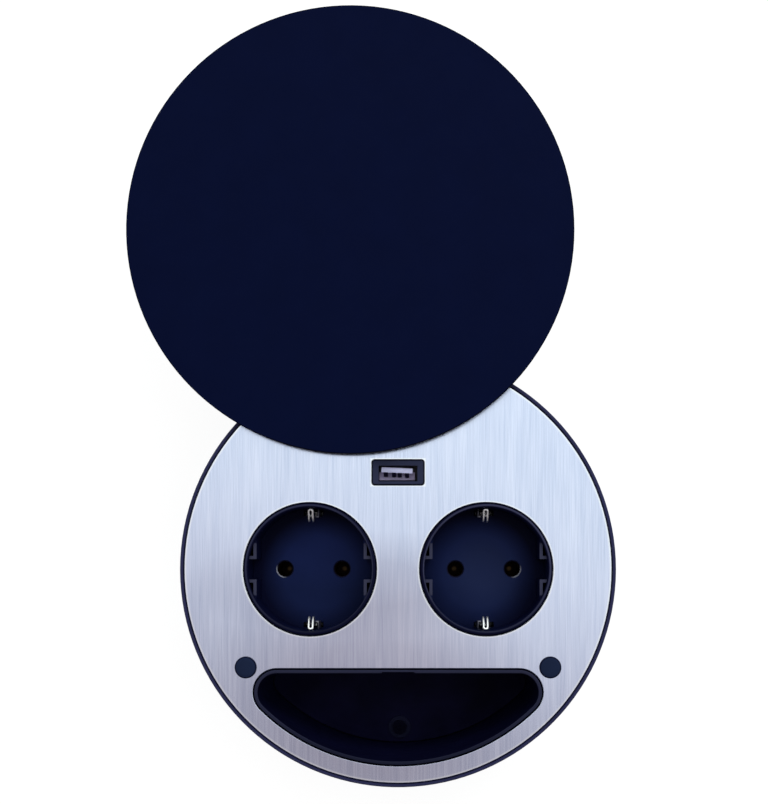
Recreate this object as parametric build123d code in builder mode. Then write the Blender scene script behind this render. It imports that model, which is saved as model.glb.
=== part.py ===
from build123d import *
import os
from math import acos, asin, atan, cos, degrees, radians, sin, sqrt

# Round built-in countertop socket with two earthed outlets, a USB charging port,
# a storage tray and a flat lid that swings sideways on one pivot.
# Millimetres, +Z up. The origin is the centre of the worktop cut-out, on the worktop's surface,
# and +Y points from there to the lid's pivot. The lid is modelled swung open.

os.makedirs("parts", exist_ok=True)

# Trim flange and steel face plate
plate_radius = 68.9
plate_thickness = 1.2
plate_bevel = 0.25
flange_thickness = 2.0
rim_gap = 0.3
rim_width = 1.0
rim_bevel = 0.3
insert_gap = 0.3
gasket_width = 1.8
gasket_thickness = 0.8

# Barrel, its screw posts and the bottom cover
barrel_wall = 1.6
collar_proud = 0.6
collar_depth = 4.0
base_clearance = 3.9
cover_thickness = 2.0
cover_inset = 0.5
cover_screw_inset = 4.5
cover_screw_angles = (-12.0, 35.0, 145.0, 192.0)
post_radius = 3.5

# Outlets, to the European earthed pattern with a 40 mm recess
outlet_offset = 28.4
recess_radius = 20.0
recess_depth = 17.5
outlet_wall = 1.2
outlet_rim_round = 0.5
outlet_floor = 3.0
pin_spacing = 19.0
pin_hole_radius = 2.6
pin_hole_chamfer = 0.35
shoulder_width = 3.0
shoulder_thickness = 2.0
guide_chord = 17.3
guide_half_gap = 3.3
guide_wall = 1.0
guide_sink = 1.5
leg_x = 13.0
leg_y = 11.0
leg_radius = 2.0

# Earth contacts, which bow inwards at the front and back of each recess
strip_thickness = 0.8
bow_width = 2.4
bow_root_inset = 1.4
bow_rise = 2.5
bow_crest = 15.8
bow_crest_depth = 9.0
bow_top_depth = 2.6
bow_bend = 2.0
bow_split = 0.8
bow_split_top = 3.6
bow_split_length = 11.0
bow_tab_place = 2.5
bow_tab_width = 1.2
bow_tab_height = 11.0
earth_slot_width = 1.8
earth_slot_length = 6.6
earth_strip_width = 6.0

# Pin sleeves and bus bars
sleeve_bore = 2.45
sleeve_wall = 0.65
sleeve_length = 14.2
sleeve_slit = 0.8
chamber_gap = 0.2
chamber_wall = 1.2
bar_width = 4.0
bar_inner_edge = 4.5
tab_width = 5.0
tab_drop = 9.0

# Contact carrier and terminal block
carrier_thickness = 3.0
carrier_edge = 4.0
carrier_front = 22.0
carrier_back = 25.0
carrier_corner = 6.0
carrier_post_front = 18.0
carrier_post_back = 20.0
block_half_width = 7.0
block_height = 12.0
block_end = 6.5
terminal_offset = 4.0
wire_hole_radius = 1.7
wire_hole_height = 7.0

# Charging port
port_y = 31.2
bezel_length = 16.5
bezel_width = 7.8
bezel_corner = 0.8
bezel_round = 0.25
port_gap = 0.15
port_length = 12.5
port_width = 5.1
port_shift = 0.35
shell_wall = 0.3
shell_sink = 0.8
port_body_length = 20.0
port_body_width = 12.0
port_depth = 12.0
port_ear_length = 7.0
port_ear_width = 6.0
port_ear_thickness = 2.0
port_ear_drop = 6.0
port_boss_radius = 2.8
tongue_length = 10.1
tongue_thickness = 1.6
tongue_offset = 1.1
tongue_sink = 1.6
tongue_base = 3.0
contact_width = 1.0
contact_thickness = 0.35
contact_places = (-3.5, -1.0, 1.0, 3.5)
board_length = 34.0
board_width = 20.0
board_thickness = 1.2
board_back = 1.5
transformer_length = 14.0
transformer_width = 12.0
transformer_height = 10.0
capacitor_radius = 3.0
capacitor_height = 9.0
capacitor_round = 0.3
lead_radius = 0.9
lead_x = 10.0
lead_drop = 11.0
lead_bend = 5.0

# Storage tray, a circular segment with rounded corners
tray_margin = 5.5
tray_chord = 32.0
tray_corner = 7.7
tray_gap = 0.4
tray_wall = 1.1
tray_floor = 1.6
tray_depth = 42.0
tray_draft = 1.3
tray_lip_round = 0.3
tray_notch_length = 10.6
tray_notch_depth = 0.45
tray_notch_height = 6.0
tray_screw_inset = 8.0
tray_post_radius = 4.5
tray_washer_radius = 3.8
tray_washer_thickness = 0.8

# Worktop clamps, four in all, each under a lid pad
clamp_inset = 6.7
clamp_tray_gap = 5.131
rear_clamp_angle = 20.0
clamp_screw_radius = 1.75
clamp_head_radius = 3.0
clamp_head_height = 2.2
clamp_head_sink = 3.5
clamp_screw_rise = 2.0
nut_half_width = 3.3
nut_back = 4.7
nut_front = 2.5
nut_height = 7.0
nut_clearance = 2.5
ear_radius = 1.9
ear_half = 1.2
claw_hinge = 4.5
claw_inner = 1.7
claw_outer = 1.5
claw_heel = 1.9
claw_length = 11.0
claw_gap = 0.3
claw_pin_radius = 0.95
channel_gap = 0.3
channel_wall = 1.0
channel_roof = 4.5
pad_radius = 3.5
pad_height = 1.0
pad_bevel = 0.35
pad_stem_radius = 3.1
pad_stem_gap = 0.1

# Lid and its pivot
lid_radius = 71.3
lid_plate_thickness = 2.5
lid_bevel = 0.2
lid_carrier_thickness = 2.0
lid_carrier_inset = 2.0
lid_clearance = 0.3
lid_open_angle = 164.09
lid_total_angle = 180.0
lid_screw_circle = 50.0
lid_screw_seat = 1.3
lid_screw_head_height = 1.2
lid_screw_length = 2.5
pivot_inset = 13.78
pivot_radius = 3.0
pivot_head_radius = 6.0
pivot_head_thickness = 1.2
pivot_flat = 2.3
pivot_groove = 2.5
pivot_tip = 1.5
pivot_boss_radius = 8.5
pivot_boss_depth = 12.0
bush_wall = 1.55
bush_collar_radius = 7.5
washer_radius = 5.4
washer_thickness = 1.2
retainer_radius = 4.6
retainer_thickness = 1.0
retainer_mouth = 3.0
nose_radius = 7.6
nose_angle = 30.0
lug_inner = 5.8
lug_clearance = 0.4
lug_slack = 0.3

# Cable inlet
inlet_inset = 22.5
inlet_bore = 3.6
inlet_groove = 6.0
inlet_lip = 8.0
inlet_lip_thickness = 1.0

# Small screws
screw_radius = 1.25
screw_head = 2.4
screw_head_height = 1.5
screw_grip = 8.0
cross_length = 1.3
cross_width = 0.3
cross_depth = 0.5

running_gap = 0.05

# Levels and places that follow from the sizes above
panel_top = flange_thickness + plate_thickness
rim_inner = plate_radius + rim_gap
flange_radius = rim_inner + rim_width
tray_arc = plate_radius - tray_margin
barrel_inner = tray_arc
barrel_radius = barrel_inner + barrel_wall
collar_radius = barrel_radius + collar_proud
cover_radius = barrel_radius - cover_inset
gasket_middle = (collar_radius + flange_radius) / 2
cover_screw_circle = barrel_radius - cover_screw_inset
inlet_y = cover_radius - inlet_inset

outlet_centres = [(-outlet_offset, 0), (outlet_offset, 0)]
outlet_names = {"left": -outlet_offset, "right": outlet_offset}
outlet_rim = recess_radius + outlet_wall
recess_floor = panel_top - recess_depth
outlet_base = recess_floor - outlet_floor
pin_places = [(-pin_spacing / 2, 0), (pin_spacing / 2, 0)]
leg_places = [(x, y) for x in (-leg_x, leg_x) for y in (-leg_y, leg_y)]
bow_root = recess_radius - bow_root_inset
sleeve_radius = sleeve_bore + sleeve_wall
chamber_bore = sleeve_radius + chamber_gap
bar_top = outlet_base - strip_thickness - sleeve_length
carrier_top = bar_top - strip_thickness
carrier_bottom = carrier_top - carrier_thickness
carrier_post_x = outlet_offset + outlet_rim + insert_gap
carrier_half_width = carrier_post_x + carrier_edge
carrier_posts = [
    (side * carrier_post_x, y) for side in (-1, 1) for y in (-carrier_post_front, carrier_post_back)
]
neutral_tab_y = strip_thickness / 2 - bar_inner_edge - bar_width
live_tab_y = bar_inner_edge + strip_thickness / 2
terminal_pitch = live_tab_y - neutral_tab_y
earth_tab_y = live_tab_y + terminal_pitch
earth_bar_outer_edge = earth_tab_y + strip_thickness / 2
terminal_ys = (neutral_tab_y, live_tab_y, earth_tab_y)
tab_end = carrier_top - tab_drop
block_bottom = carrier_bottom - block_height
barrel_depth = base_clearance - block_bottom
cover_bottom = -barrel_depth - cover_thickness

port_middle = port_y - port_shift
shell_top = panel_top - shell_sink
port_base = -port_depth
ear_top = -port_ear_drop
port_ears = [
    (side * (port_body_length + port_ear_length) / 2, port_y) for side in (-1, 1)
]
board_bottom = port_base - board_thickness
board_y = port_y + board_back

tray_floor_top = panel_top - tray_depth
tray_base = tray_floor_top - tray_floor
tray_taper = degrees(atan(tray_draft / tray_depth))
tray_screw_y = -(tray_arc - tray_screw_inset)

clamp_radius = barrel_radius - clamp_inset
corner_radius = tray_arc - tray_corner
corner_angle = degrees(asin((tray_chord + tray_corner) / corner_radius))
clamp_spacing = tray_corner + clamp_tray_gap
clamp_turn = degrees(
    acos((clamp_radius**2 + corner_radius**2 - clamp_spacing**2) / (2 * clamp_radius * corner_radius))
)
clamp_angles = {
    "front_right": clamp_turn - corner_angle,
    "front_left": 180 + corner_angle - clamp_turn,
    "rear_right": 90 - rear_clamp_angle,
    "rear_left": 90 + rear_clamp_angle,
}
clamp_places = [
    (clamp_radius * cos(radians(angle)), clamp_radius * sin(radians(angle)))
    for angle in clamp_angles.values()
]
clamp_seat = flange_thickness - clamp_head_sink
pad_hole_radius = pad_stem_radius + pad_stem_gap
pad_stem_end = clamp_seat + clamp_head_height + channel_gap
channel_half = nut_half_width + channel_gap
channel_back = nut_back + channel_gap
block_half = channel_half + channel_wall
block_reach = sqrt((channel_back + channel_wall) ** 2 + block_half**2)
clamp_screw_length = clamp_seat + barrel_depth - clamp_screw_rise
channel_front = sqrt(barrel_radius**2 - block_half**2) - clamp_radius - running_gap
nut_bottom = nut_clearance - barrel_depth
hinge_z = nut_bottom + nut_height / 2

pivot_y = plate_radius - pivot_inset
bush_bore = pivot_radius + running_gap
bush_radius = bush_bore + bush_wall
pad_top = panel_top + pad_height
lid_bottom = pad_top + lid_clearance
lid_joint = lid_bottom + lid_carrier_thickness
lid_turn = radians(-90 - lid_open_angle)
lid_x = pivot_y * cos(lid_turn)
lid_y = pivot_y * (1 + sin(lid_turn))
friction_washer_top = -pivot_boss_depth
stop_washer_top = friction_washer_top - washer_thickness
retainer_top = stop_washer_top - washer_thickness
pivot_end = retainer_top - retainer_thickness - pivot_tip
lug_angle = 360 - lid_total_angle - nose_angle - 2 * lug_slack
lug_start = -lug_angle / 2
lug_height = 2 * washer_thickness + lug_clearance

lid_screws_at = [
    (
        lid_x + lid_screw_circle * cos(lid_turn + radians(quarter)),
        lid_y + lid_screw_circle * sin(lid_turn + radians(quarter)),
    )
    for quarter in (45, 135, 225, 315)
]

cover_screws_at = [
    (cover_screw_circle * cos(radians(angle)), cover_screw_circle * sin(radians(angle)))
    for angle in cover_screw_angles
]


def level(z, x=0.0, y=0.0):
    """A plane parallel to the worktop, at height z, with its origin over (x, y)."""
    return Plane((x, y, z))


def outward(angle):
    """The level direction that points out of the barrel at this angle."""
    return Vector(cos(radians(angle)), sin(radians(angle)), 0)


def at_clamp(angle, z):
    """A level plane at a clamp's screw, with X out of the barrel."""
    return Plane(outward(angle) * clamp_radius + Vector(0, 0, z), x_dir=outward(angle))


def across_clamp(angle, z):
    """An upright plane at a clamp's screw, with X out of the barrel and Y up."""
    origin = outward(angle) * clamp_radius + Vector(0, 0, z)
    return Plane(origin, x_dir=outward(angle), z_dir=outward(angle - 90))


def tray_profile(z, inset):
    """The tray's outline at height z, drawn in by inset from the opening in the face plate."""
    with BuildSketch(level(z)) as profile:
        Circle(tray_arc - inset)
        with Locations((0, -tray_chord - inset)):
            Rectangle(2 * tray_arc, 2 * tray_arc, align=(Align.CENTER, Align.MIN), mode=Mode.SUBTRACT)
        fillet(profile.vertices(), tray_corner - inset)
    return profile.sketch


def screw_group(places, seat, length, shank, head, head_height, down=True):
    """Pan-head screws whose heads rest on the level seat, with their shanks down or up."""
    way = -1 if down else 1
    with BuildPart() as group:
        with BuildSketch(level(seat)):
            with Locations(*places):
                Circle(shank)
        extrude(amount=way * length)
        with BuildSketch(level(seat)):
            with Locations(*places):
                Circle(head)
        extrude(amount=-way * head_height)
        with BuildSketch(level(seat - way * head_height)):
            with Locations(*places):
                Rectangle(cross_length * head, cross_width * head)
                Rectangle(cross_width * head, cross_length * head)
        extrude(amount=way * cross_depth * head_height, mode=Mode.SUBTRACT)
    return group


def busbar(pin_xs, side, tab_y):
    """A bar beside the pins, on the back side (+1) or the front side (-1), with its terminal tab."""
    first, last = min(pin_xs) - sleeve_radius, max(pin_xs) + sleeve_radius
    with BuildPart() as bar:
        with BuildSketch(level(carrier_top)):
            with Locations(((first + last) / 2, side * (bar_inner_edge + bar_width / 2))):
                Rectangle(last - first, bar_width)
            for x in pin_xs:
                with Locations((x, side * (bar_inner_edge - sleeve_radius) / 2)):
                    Rectangle(2 * sleeve_radius, bar_inner_edge + sleeve_radius)
        extrude(amount=strip_thickness)
        with BuildSketch(level(bar_top, 0, tab_y)):
            Rectangle(tab_width, strip_thickness)
        extrude(amount=tab_end - bar_top)
    return bar


def save(piece, name):
    """Names a finished piece and writes its file."""
    piece.part.label = name
    export_step(piece.part, f"parts/{name}.step")


# Housing: trim flange and rim, barrel with a collar that centres it in the cut-out, screw posts,
# pivot boss and the four clamp channels
with BuildPart() as housing:
    with BuildSketch():
        Circle(flange_radius)
    extrude(amount=panel_top)
    chamfer(housing.faces().sort_by(Axis.Z)[-1].edges(), rim_bevel)
    with BuildSketch(level(flange_thickness)):
        Circle(rim_inner)
    extrude(amount=plate_thickness, mode=Mode.SUBTRACT)
    with BuildSketch():
        Circle(barrel_radius)
        Circle(barrel_inner, mode=Mode.SUBTRACT)
    extrude(amount=-barrel_depth)
    with BuildSketch():
        Circle(collar_radius)
        Circle(barrel_inner, mode=Mode.SUBTRACT)
    extrude(amount=-collar_depth)
    with BuildSketch():
        with Locations(*cover_screws_at):
            Circle(post_radius)
    extrude(amount=-barrel_depth)
    with BuildSketch():
        with Locations(*carrier_posts):
            Circle(post_radius)
    extrude(amount=carrier_top)
    with BuildSketch():
        with Locations(*port_ears):
            Circle(port_boss_radius)
    extrude(amount=ear_top)
    with BuildSketch(level(0, 0, pivot_y)):
        Circle(pivot_boss_radius)
    extrude(amount=-pivot_boss_depth)
    with BuildSketch(Plane((0, pivot_y, 0), x_dir=outward(lug_start), z_dir=outward(lug_start - 90))):
        with Locations(((lug_inner + pivot_boss_radius) / 2, -pivot_boss_depth - lug_height / 2)):
            Rectangle(pivot_boss_radius - lug_inner, lug_height)
    revolve(axis=Axis((0, pivot_y, 0), (0, 0, 1)), revolution_arc=lug_angle)
    for angle in clamp_angles.values():
        with BuildSketch(at_clamp(angle, 0)):
            with Locations((-channel_back - channel_wall, 0)):
                Rectangle(
                    channel_back + channel_wall + channel_front,
                    2 * block_half,
                    align=(Align.MIN, Align.CENTER),
                )
        extrude(amount=-barrel_depth)
    for angle in clamp_angles.values():
        with BuildSketch(at_clamp(angle, -channel_roof)):
            with Locations((-channel_back, 0)):
                Rectangle(
                    channel_back + 2 * clamp_inset, 2 * channel_half, align=(Align.MIN, Align.CENTER)
                )
        extrude(amount=channel_roof - barrel_depth, mode=Mode.SUBTRACT)
    with BuildSketch(level(flange_thickness)):
        with Locations(*outlet_centres):
            Circle(outlet_rim + insert_gap)
        with Locations((0, port_y)):
            Rectangle(bezel_length + 2 * insert_gap, bezel_width + 2 * insert_gap)
    extrude(amount=-flange_thickness, mode=Mode.SUBTRACT)
    extrude(tray_profile(flange_thickness, 0), amount=-flange_thickness, mode=Mode.SUBTRACT)
    with BuildSketch(level(flange_thickness, 0, pivot_y)):
        Circle(bush_radius)
    extrude(amount=-flange_thickness - pivot_boss_depth, mode=Mode.SUBTRACT)
    with BuildSketch(level(flange_thickness)):
        with Locations(*clamp_places):
            Circle(pad_hole_radius)
    extrude(amount=clamp_seat - flange_thickness, mode=Mode.SUBTRACT)
    with BuildSketch(level(clamp_seat)):
        with Locations(*clamp_places):
            Circle(clamp_screw_radius + running_gap)
    extrude(amount=-channel_roof - clamp_seat, mode=Mode.SUBTRACT)
    with BuildSketch():
        Circle(gasket_middle + gasket_width / 2)
        Circle(gasket_middle - gasket_width / 2, mode=Mode.SUBTRACT)
    extrude(amount=gasket_thickness, mode=Mode.SUBTRACT)
    with BuildSketch(level(-barrel_depth)):
        with Locations(*cover_screws_at):
            Circle(screw_radius)
    extrude(amount=screw_grip, mode=Mode.SUBTRACT)
    with BuildSketch(level(carrier_top)):
        with Locations(*carrier_posts):
            Circle(screw_radius)
    extrude(amount=screw_grip, mode=Mode.SUBTRACT)
    with BuildSketch(level(ear_top)):
        with Locations(*port_ears):
            Circle(screw_radius)
    extrude(amount=-ear_top, mode=Mode.SUBTRACT)
save(housing, "housing")

# Foam gasket in the flange's underside
with BuildPart() as gasket:
    with BuildSketch():
        Circle(gasket_middle + gasket_width / 2)
        Circle(gasket_middle - gasket_width / 2, mode=Mode.SUBTRACT)
    extrude(amount=gasket_thickness)
save(gasket, "gasket")

# Brushed steel face plate, with its upper edges bevelled
with BuildPart() as face_plate:
    with BuildSketch(level(flange_thickness)):
        Circle(plate_radius)
        with Locations(*outlet_centres):
            Circle(outlet_rim + insert_gap, mode=Mode.SUBTRACT)
        with Locations((0, port_y)):
            RectangleRounded(
                bezel_length + 2 * port_gap,
                bezel_width + 2 * port_gap,
                bezel_corner + port_gap,
                mode=Mode.SUBTRACT,
            )
        with Locations(*clamp_places):
            Circle(pad_hole_radius, mode=Mode.SUBTRACT)
        with Locations((0, pivot_y)):
            Circle(bush_radius, mode=Mode.SUBTRACT)
    extrude(amount=plate_thickness)
    extrude(tray_profile(flange_thickness, 0), amount=plate_thickness, mode=Mode.SUBTRACT)
    chamfer(face_plate.faces().sort_by(Axis.Z)[-1].edges(), plate_bevel)
save(face_plate, "face_plate")

# Outlet inserts: a round recess with guide ribs, pin holes, contact chambers and legs
for side, outlet_x in outlet_names.items():
    with BuildPart() as outlet_insert:
        with BuildSketch(level(panel_top, outlet_x)):
            Circle(outlet_rim)
        extrude(amount=outlet_base - panel_top)
        with BuildSketch(level(0, outlet_x)):
            Circle(outlet_rim + shoulder_width)
        extrude(amount=-shoulder_thickness)
        with BuildSketch(level(panel_top, outlet_x)):
            Circle(recess_radius)
        extrude(amount=-recess_depth, mode=Mode.SUBTRACT)
        fillet(outlet_insert.edges().group_by(Axis.Z)[-1], outlet_rim_round)
        with BuildSketch(level(recess_floor, outlet_x)):
            Circle(recess_radius)
            Rectangle(2 * guide_chord, 2 * recess_radius, mode=Mode.SUBTRACT)
            Rectangle(2 * recess_radius, 2 * guide_half_gap, mode=Mode.SUBTRACT)
            for x in (-1, 1):
                for y in (-1, 1):
                    corner = (x * (guide_chord + guide_wall), y * (guide_half_gap + guide_wall))
                    with Locations(corner):
                        Rectangle(
                            recess_radius,
                            recess_radius,
                            align=(Align.MIN if x > 0 else Align.MAX, Align.MIN if y > 0 else Align.MAX),
                            mode=Mode.SUBTRACT,
                        )
        extrude(amount=recess_depth - guide_sink)
        with BuildSketch(level(outlet_base, outlet_x)):
            with Locations(*pin_places):
                Circle(chamber_bore + chamber_wall)
        extrude(amount=bar_top + chamber_gap - outlet_base)
        with BuildSketch(level(outlet_base, outlet_x)):
            with Locations(*leg_places):
                Circle(leg_radius)
        extrude(amount=carrier_top - outlet_base)
        with BuildSketch(level(outlet_base, outlet_x)):
            with Locations(*pin_places):
                Circle(chamber_bore)
        extrude(amount=bar_top + chamber_gap - outlet_base, mode=Mode.SUBTRACT)
        with BuildSketch(level(recess_floor, outlet_x)):
            with Locations(*pin_places):
                Circle(pin_hole_radius)
            with Locations((0, bow_root), (0, -bow_root)):
                Rectangle(earth_slot_length, earth_slot_width)
        extrude(amount=-outlet_floor, mode=Mode.SUBTRACT)
        mouths = outlet_insert.edges().filter_by(GeomType.CIRCLE)
        mouths = mouths.filter_by_position(Axis.Z, recess_floor, recess_floor)
        chamfer(mouths.filter_by(lambda edge: edge.radius < chamber_bore), pin_hole_chamfer)
    save(outlet_insert, f"outlet_insert_{side}")

# Earth brackets: a strip under each recess whose ends rise as split, sprung bows
for side, outlet_x in outlet_names.items():
    inward = -1 if outlet_x > 0 else 1
    with BuildPart() as earth_bracket:
        with BuildSketch(Plane.YZ.offset(outlet_x)):
            with BuildLine():
                FilletPolyline(
                    (bow_root, outlet_base - strip_thickness),
                    (bow_root, recess_floor + bow_rise),
                    (bow_crest, panel_top - bow_crest_depth),
                    (recess_radius - strip_thickness, panel_top - bow_top_depth),
                    radius=bow_bend,
                )
            trace(line_width=strip_thickness)
        extrude(amount=bow_width / 2, both=True)
        with BuildSketch(level(panel_top - bow_split_top, outlet_x, recess_radius)):
            Rectangle(bow_split, recess_radius)
        extrude(amount=-bow_split_length, mode=Mode.SUBTRACT)
        with BuildSketch(level(outlet_base, outlet_x + inward * bow_tab_place, bow_root)):
            Rectangle(bow_tab_width, strip_thickness)
        extrude(amount=bow_tab_height)
        mirror(about=Plane.XZ)
        with BuildSketch(level(outlet_base, outlet_x)):
            Rectangle(earth_strip_width, 2 * bow_root + strip_thickness)
        extrude(amount=-strip_thickness)
    save(earth_bracket, f"earth_bracket_{side}")

# Sprung brass sleeves that take the plug's pins
with BuildPart() as pin_sleeves:
    with BuildSketch(level(bar_top)):
        with Locations(*[(x + pin_x, 0) for x, _ in outlet_centres for pin_x, _ in pin_places]):
            Circle(sleeve_radius)
            Circle(sleeve_bore, mode=Mode.SUBTRACT)
            Rectangle(2 * sleeve_radius, sleeve_slit, align=(Align.MIN, Align.CENTER), mode=Mode.SUBTRACT)
    extrude(amount=sleeve_length)
save(pin_sleeves, "pin_sleeves")

# Live and neutral bus bars: each joins the left or the right pins of both outlets
live_busbar = busbar([x - pin_spacing / 2 for x, _ in outlet_centres], 1, live_tab_y)
save(live_busbar, "live_busbar")
neutral_busbar = busbar([x + pin_spacing / 2 for x, _ in outlet_centres], -1, neutral_tab_y)
save(neutral_busbar, "neutral_busbar")

# Earth bus bar, under both earth brackets
with BuildPart() as earth_busbar:
    with BuildSketch(level(outlet_base - strip_thickness, 0, earth_bar_outer_edge - bar_width / 2)):
        Rectangle(2 * outlet_offset + earth_strip_width, bar_width)
    extrude(amount=-strip_thickness)
    with BuildSketch(level(outlet_base - strip_thickness, 0, earth_tab_y)):
        Rectangle(tab_width, strip_thickness)
    extrude(amount=tab_end - outlet_base + strip_thickness)
save(earth_busbar, "earth_busbar")

# Contact carrier, which holds the bus bars up against the outlets
with BuildPart() as contact_carrier:
    with BuildSketch(level(carrier_top, 0, (carrier_back - carrier_front) / 2)):
        RectangleRounded(2 * carrier_half_width, carrier_back + carrier_front, carrier_corner)
    extrude(amount=-carrier_thickness)
    with BuildSketch(level(carrier_top)):
        with Locations(*clamp_places):
            Circle(block_reach + insert_gap)
    extrude(amount=-carrier_thickness, mode=Mode.SUBTRACT)
    with BuildSketch(level(carrier_top)):
        with Locations(*carrier_posts):
            Circle(screw_radius)
        with Locations(*[(0, y) for y in terminal_ys]):
            Rectangle(tab_width + insert_gap, strip_thickness + insert_gap)
    extrude(amount=-carrier_thickness, mode=Mode.SUBTRACT)
save(contact_carrier, "contact_carrier")

carrier_screws = screw_group(
    carrier_posts,
    carrier_bottom,
    carrier_thickness + screw_grip,
    screw_radius,
    screw_head,
    screw_head_height,
    down=False,
)
save(carrier_screws, "carrier_screws")

# Terminal block under the carrier, with a clamping screw for each wire
with BuildPart() as terminal_block:
    with BuildSketch(level(carrier_bottom, 0, live_tab_y)):
        Rectangle(2 * block_half_width, 2 * terminal_pitch + 2 * block_end)
    extrude(amount=-block_height)
    with BuildSketch(level(carrier_bottom)):
        with Locations(*[(0, y) for y in terminal_ys]):
            Rectangle(tab_width + insert_gap, strip_thickness + insert_gap)
    extrude(amount=tab_end - carrier_bottom - insert_gap, mode=Mode.SUBTRACT)
    with BuildSketch(Plane.YZ.offset(block_half_width)):
        with Locations(*[(y + wire_hole_radius, block_bottom + wire_hole_height) for y in terminal_ys]):
            Circle(wire_hole_radius)
    extrude(amount=-block_half_width, mode=Mode.SUBTRACT)
    with BuildSketch(level(block_bottom)):
        with Locations(*[(terminal_offset, y + wire_hole_radius) for y in terminal_ys]):
            Circle(screw_radius)
    extrude(amount=wire_hole_height - wire_hole_radius, mode=Mode.SUBTRACT)
    with BuildSketch(level(block_bottom)):
        with Locations(*[(terminal_offset, y + wire_hole_radius) for y in terminal_ys]):
            Circle(screw_head)
    extrude(amount=screw_head_height, mode=Mode.SUBTRACT)
save(terminal_block, "terminal_block")

terminal_screws = screw_group(
    [(terminal_offset, y + wire_hole_radius) for y in terminal_ys],
    block_bottom + screw_head_height,
    wire_hole_height - wire_hole_radius - screw_head_height,
    screw_radius,
    screw_head,
    screw_head_height,
    down=False,
)
save(terminal_screws, "terminal_screws")

# Charging port's housing: a black bezel, its body below the flange and two screw ears
with BuildPart() as port_housing:
    with BuildSketch(level(0, 0, port_y)):
        RectangleRounded(bezel_length, bezel_width, bezel_corner)
    extrude(amount=panel_top)
    fillet(port_housing.faces().sort_by(Axis.Z)[-1].edges(), bezel_round)
    with BuildSketch(level(0, 0, port_y)):
        Rectangle(port_body_length, port_body_width)
    extrude(amount=port_base)
    with BuildSketch(level(ear_top, 0, port_y)):
        Rectangle(port_body_length + 2 * port_ear_length, port_ear_width)
    extrude(amount=-port_ear_thickness)
    with BuildSketch(level(panel_top, 0, port_middle)):
        Rectangle(port_length, port_width)
    extrude(amount=-shell_sink, mode=Mode.SUBTRACT)
    with BuildSketch(level(shell_top, 0, port_middle)):
        Rectangle(port_length + 2 * shell_wall, port_width + 2 * shell_wall)
    extrude(amount=port_base - shell_top, mode=Mode.SUBTRACT)
    with BuildSketch(level(ear_top)):
        with Locations(*port_ears):
            Circle(screw_radius)
    extrude(amount=-port_ear_thickness, mode=Mode.SUBTRACT)
save(port_housing, "port_housing")

port_screws = screw_group(
    port_ears,
    ear_top - port_ear_thickness,
    port_ear_thickness + port_ear_drop,
    screw_radius,
    screw_head,
    screw_head_height,
    down=False,
)
save(port_screws, "port_screws")

# Steel shell of the port
with BuildPart() as port_shell:
    with BuildSketch(level(shell_top, 0, port_middle)):
        Rectangle(port_length + 2 * shell_wall, port_width + 2 * shell_wall)
        Rectangle(port_length, port_width, mode=Mode.SUBTRACT)
    extrude(amount=port_base - shell_top)
save(port_shell, "port_shell")

# Contact tongue in the port, on a base that fills the bottom of the shell
contact_y = port_middle + tongue_offset - tongue_thickness / 2 - contact_thickness / 2
with BuildPart() as port_tongue:
    with BuildSketch(level(port_base, 0, port_middle)):
        Rectangle(port_length, port_width)
    extrude(amount=tongue_base)
    with BuildSketch(level(port_base, 0, port_middle + tongue_offset)):
        Rectangle(tongue_length, tongue_thickness)
    extrude(amount=panel_top - tongue_sink - port_base)
    with BuildSketch(level(port_base)):
        with Locations(*[(x, contact_y) for x in contact_places]):
            Rectangle(contact_width, contact_thickness)
    extrude(amount=tongue_base, mode=Mode.SUBTRACT)
save(port_tongue, "port_tongue")

# Four contact strips along the tongue
with BuildPart() as port_contacts:
    with BuildSketch(level(port_base)):
        with Locations(*[(x, contact_y) for x in contact_places]):
            Rectangle(contact_width, contact_thickness)
    extrude(amount=panel_top - tongue_sink - port_base - strip_thickness)
save(port_contacts, "port_contacts")

# Charger board with its transformer and capacitors
with BuildPart() as charger_board:
    with BuildSketch(level(port_base, 0, board_y)):
        Rectangle(board_length, board_width)
    extrude(amount=-board_thickness)
save(charger_board, "charger_board")

with BuildPart() as charger_transformer:
    with BuildSketch(level(board_bottom, 0, board_y)):
        RectangleRounded(transformer_length, transformer_width, bezel_corner)
    extrude(amount=-transformer_height)
    chamfer(charger_transformer.faces().sort_by(Axis.Z)[0].edges(), bezel_corner / 2)
save(charger_transformer, "charger_transformer")

capacitor_x = board_length / 2 - capacitor_radius - insert_gap
capacitor_y = board_y + board_width / 2 - capacitor_radius - insert_gap
with BuildPart() as charger_capacitors:
    with BuildSketch(level(board_bottom)):
        with Locations((-capacitor_x, capacitor_y), (capacitor_x, capacitor_y)):
            Circle(capacitor_radius)
    extrude(amount=-capacitor_height)
    fillet(charger_capacitors.edges().group_by(Axis.Z)[0], capacitor_round)
save(charger_capacitors, "charger_capacitors")

# Insulated leads from the charger board down to the live and neutral bus bars
lead_start_y = board_y - board_width / 2 + 2 * lead_radius
lead_ends = {
    "charger_lead_live": (lead_x, bar_inner_edge + bar_width / 2),
    "charger_lead_neutral": (-lead_x, -bar_inner_edge - bar_width / 2),
}
for name, (x, y) in lead_ends.items():
    with BuildPart() as charger_lead:
        with BuildLine():
            FilletPolyline(
                (x, lead_start_y, board_bottom),
                (x, lead_start_y, board_bottom - lead_drop),
                (x, y, board_bottom - lead_drop),
                (x, y, bar_top),
                radius=lead_bend,
            )
        with BuildSketch(level(board_bottom, x, lead_start_y)):
            Circle(lead_radius)
        sweep()
    save(charger_lead, name)

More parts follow.
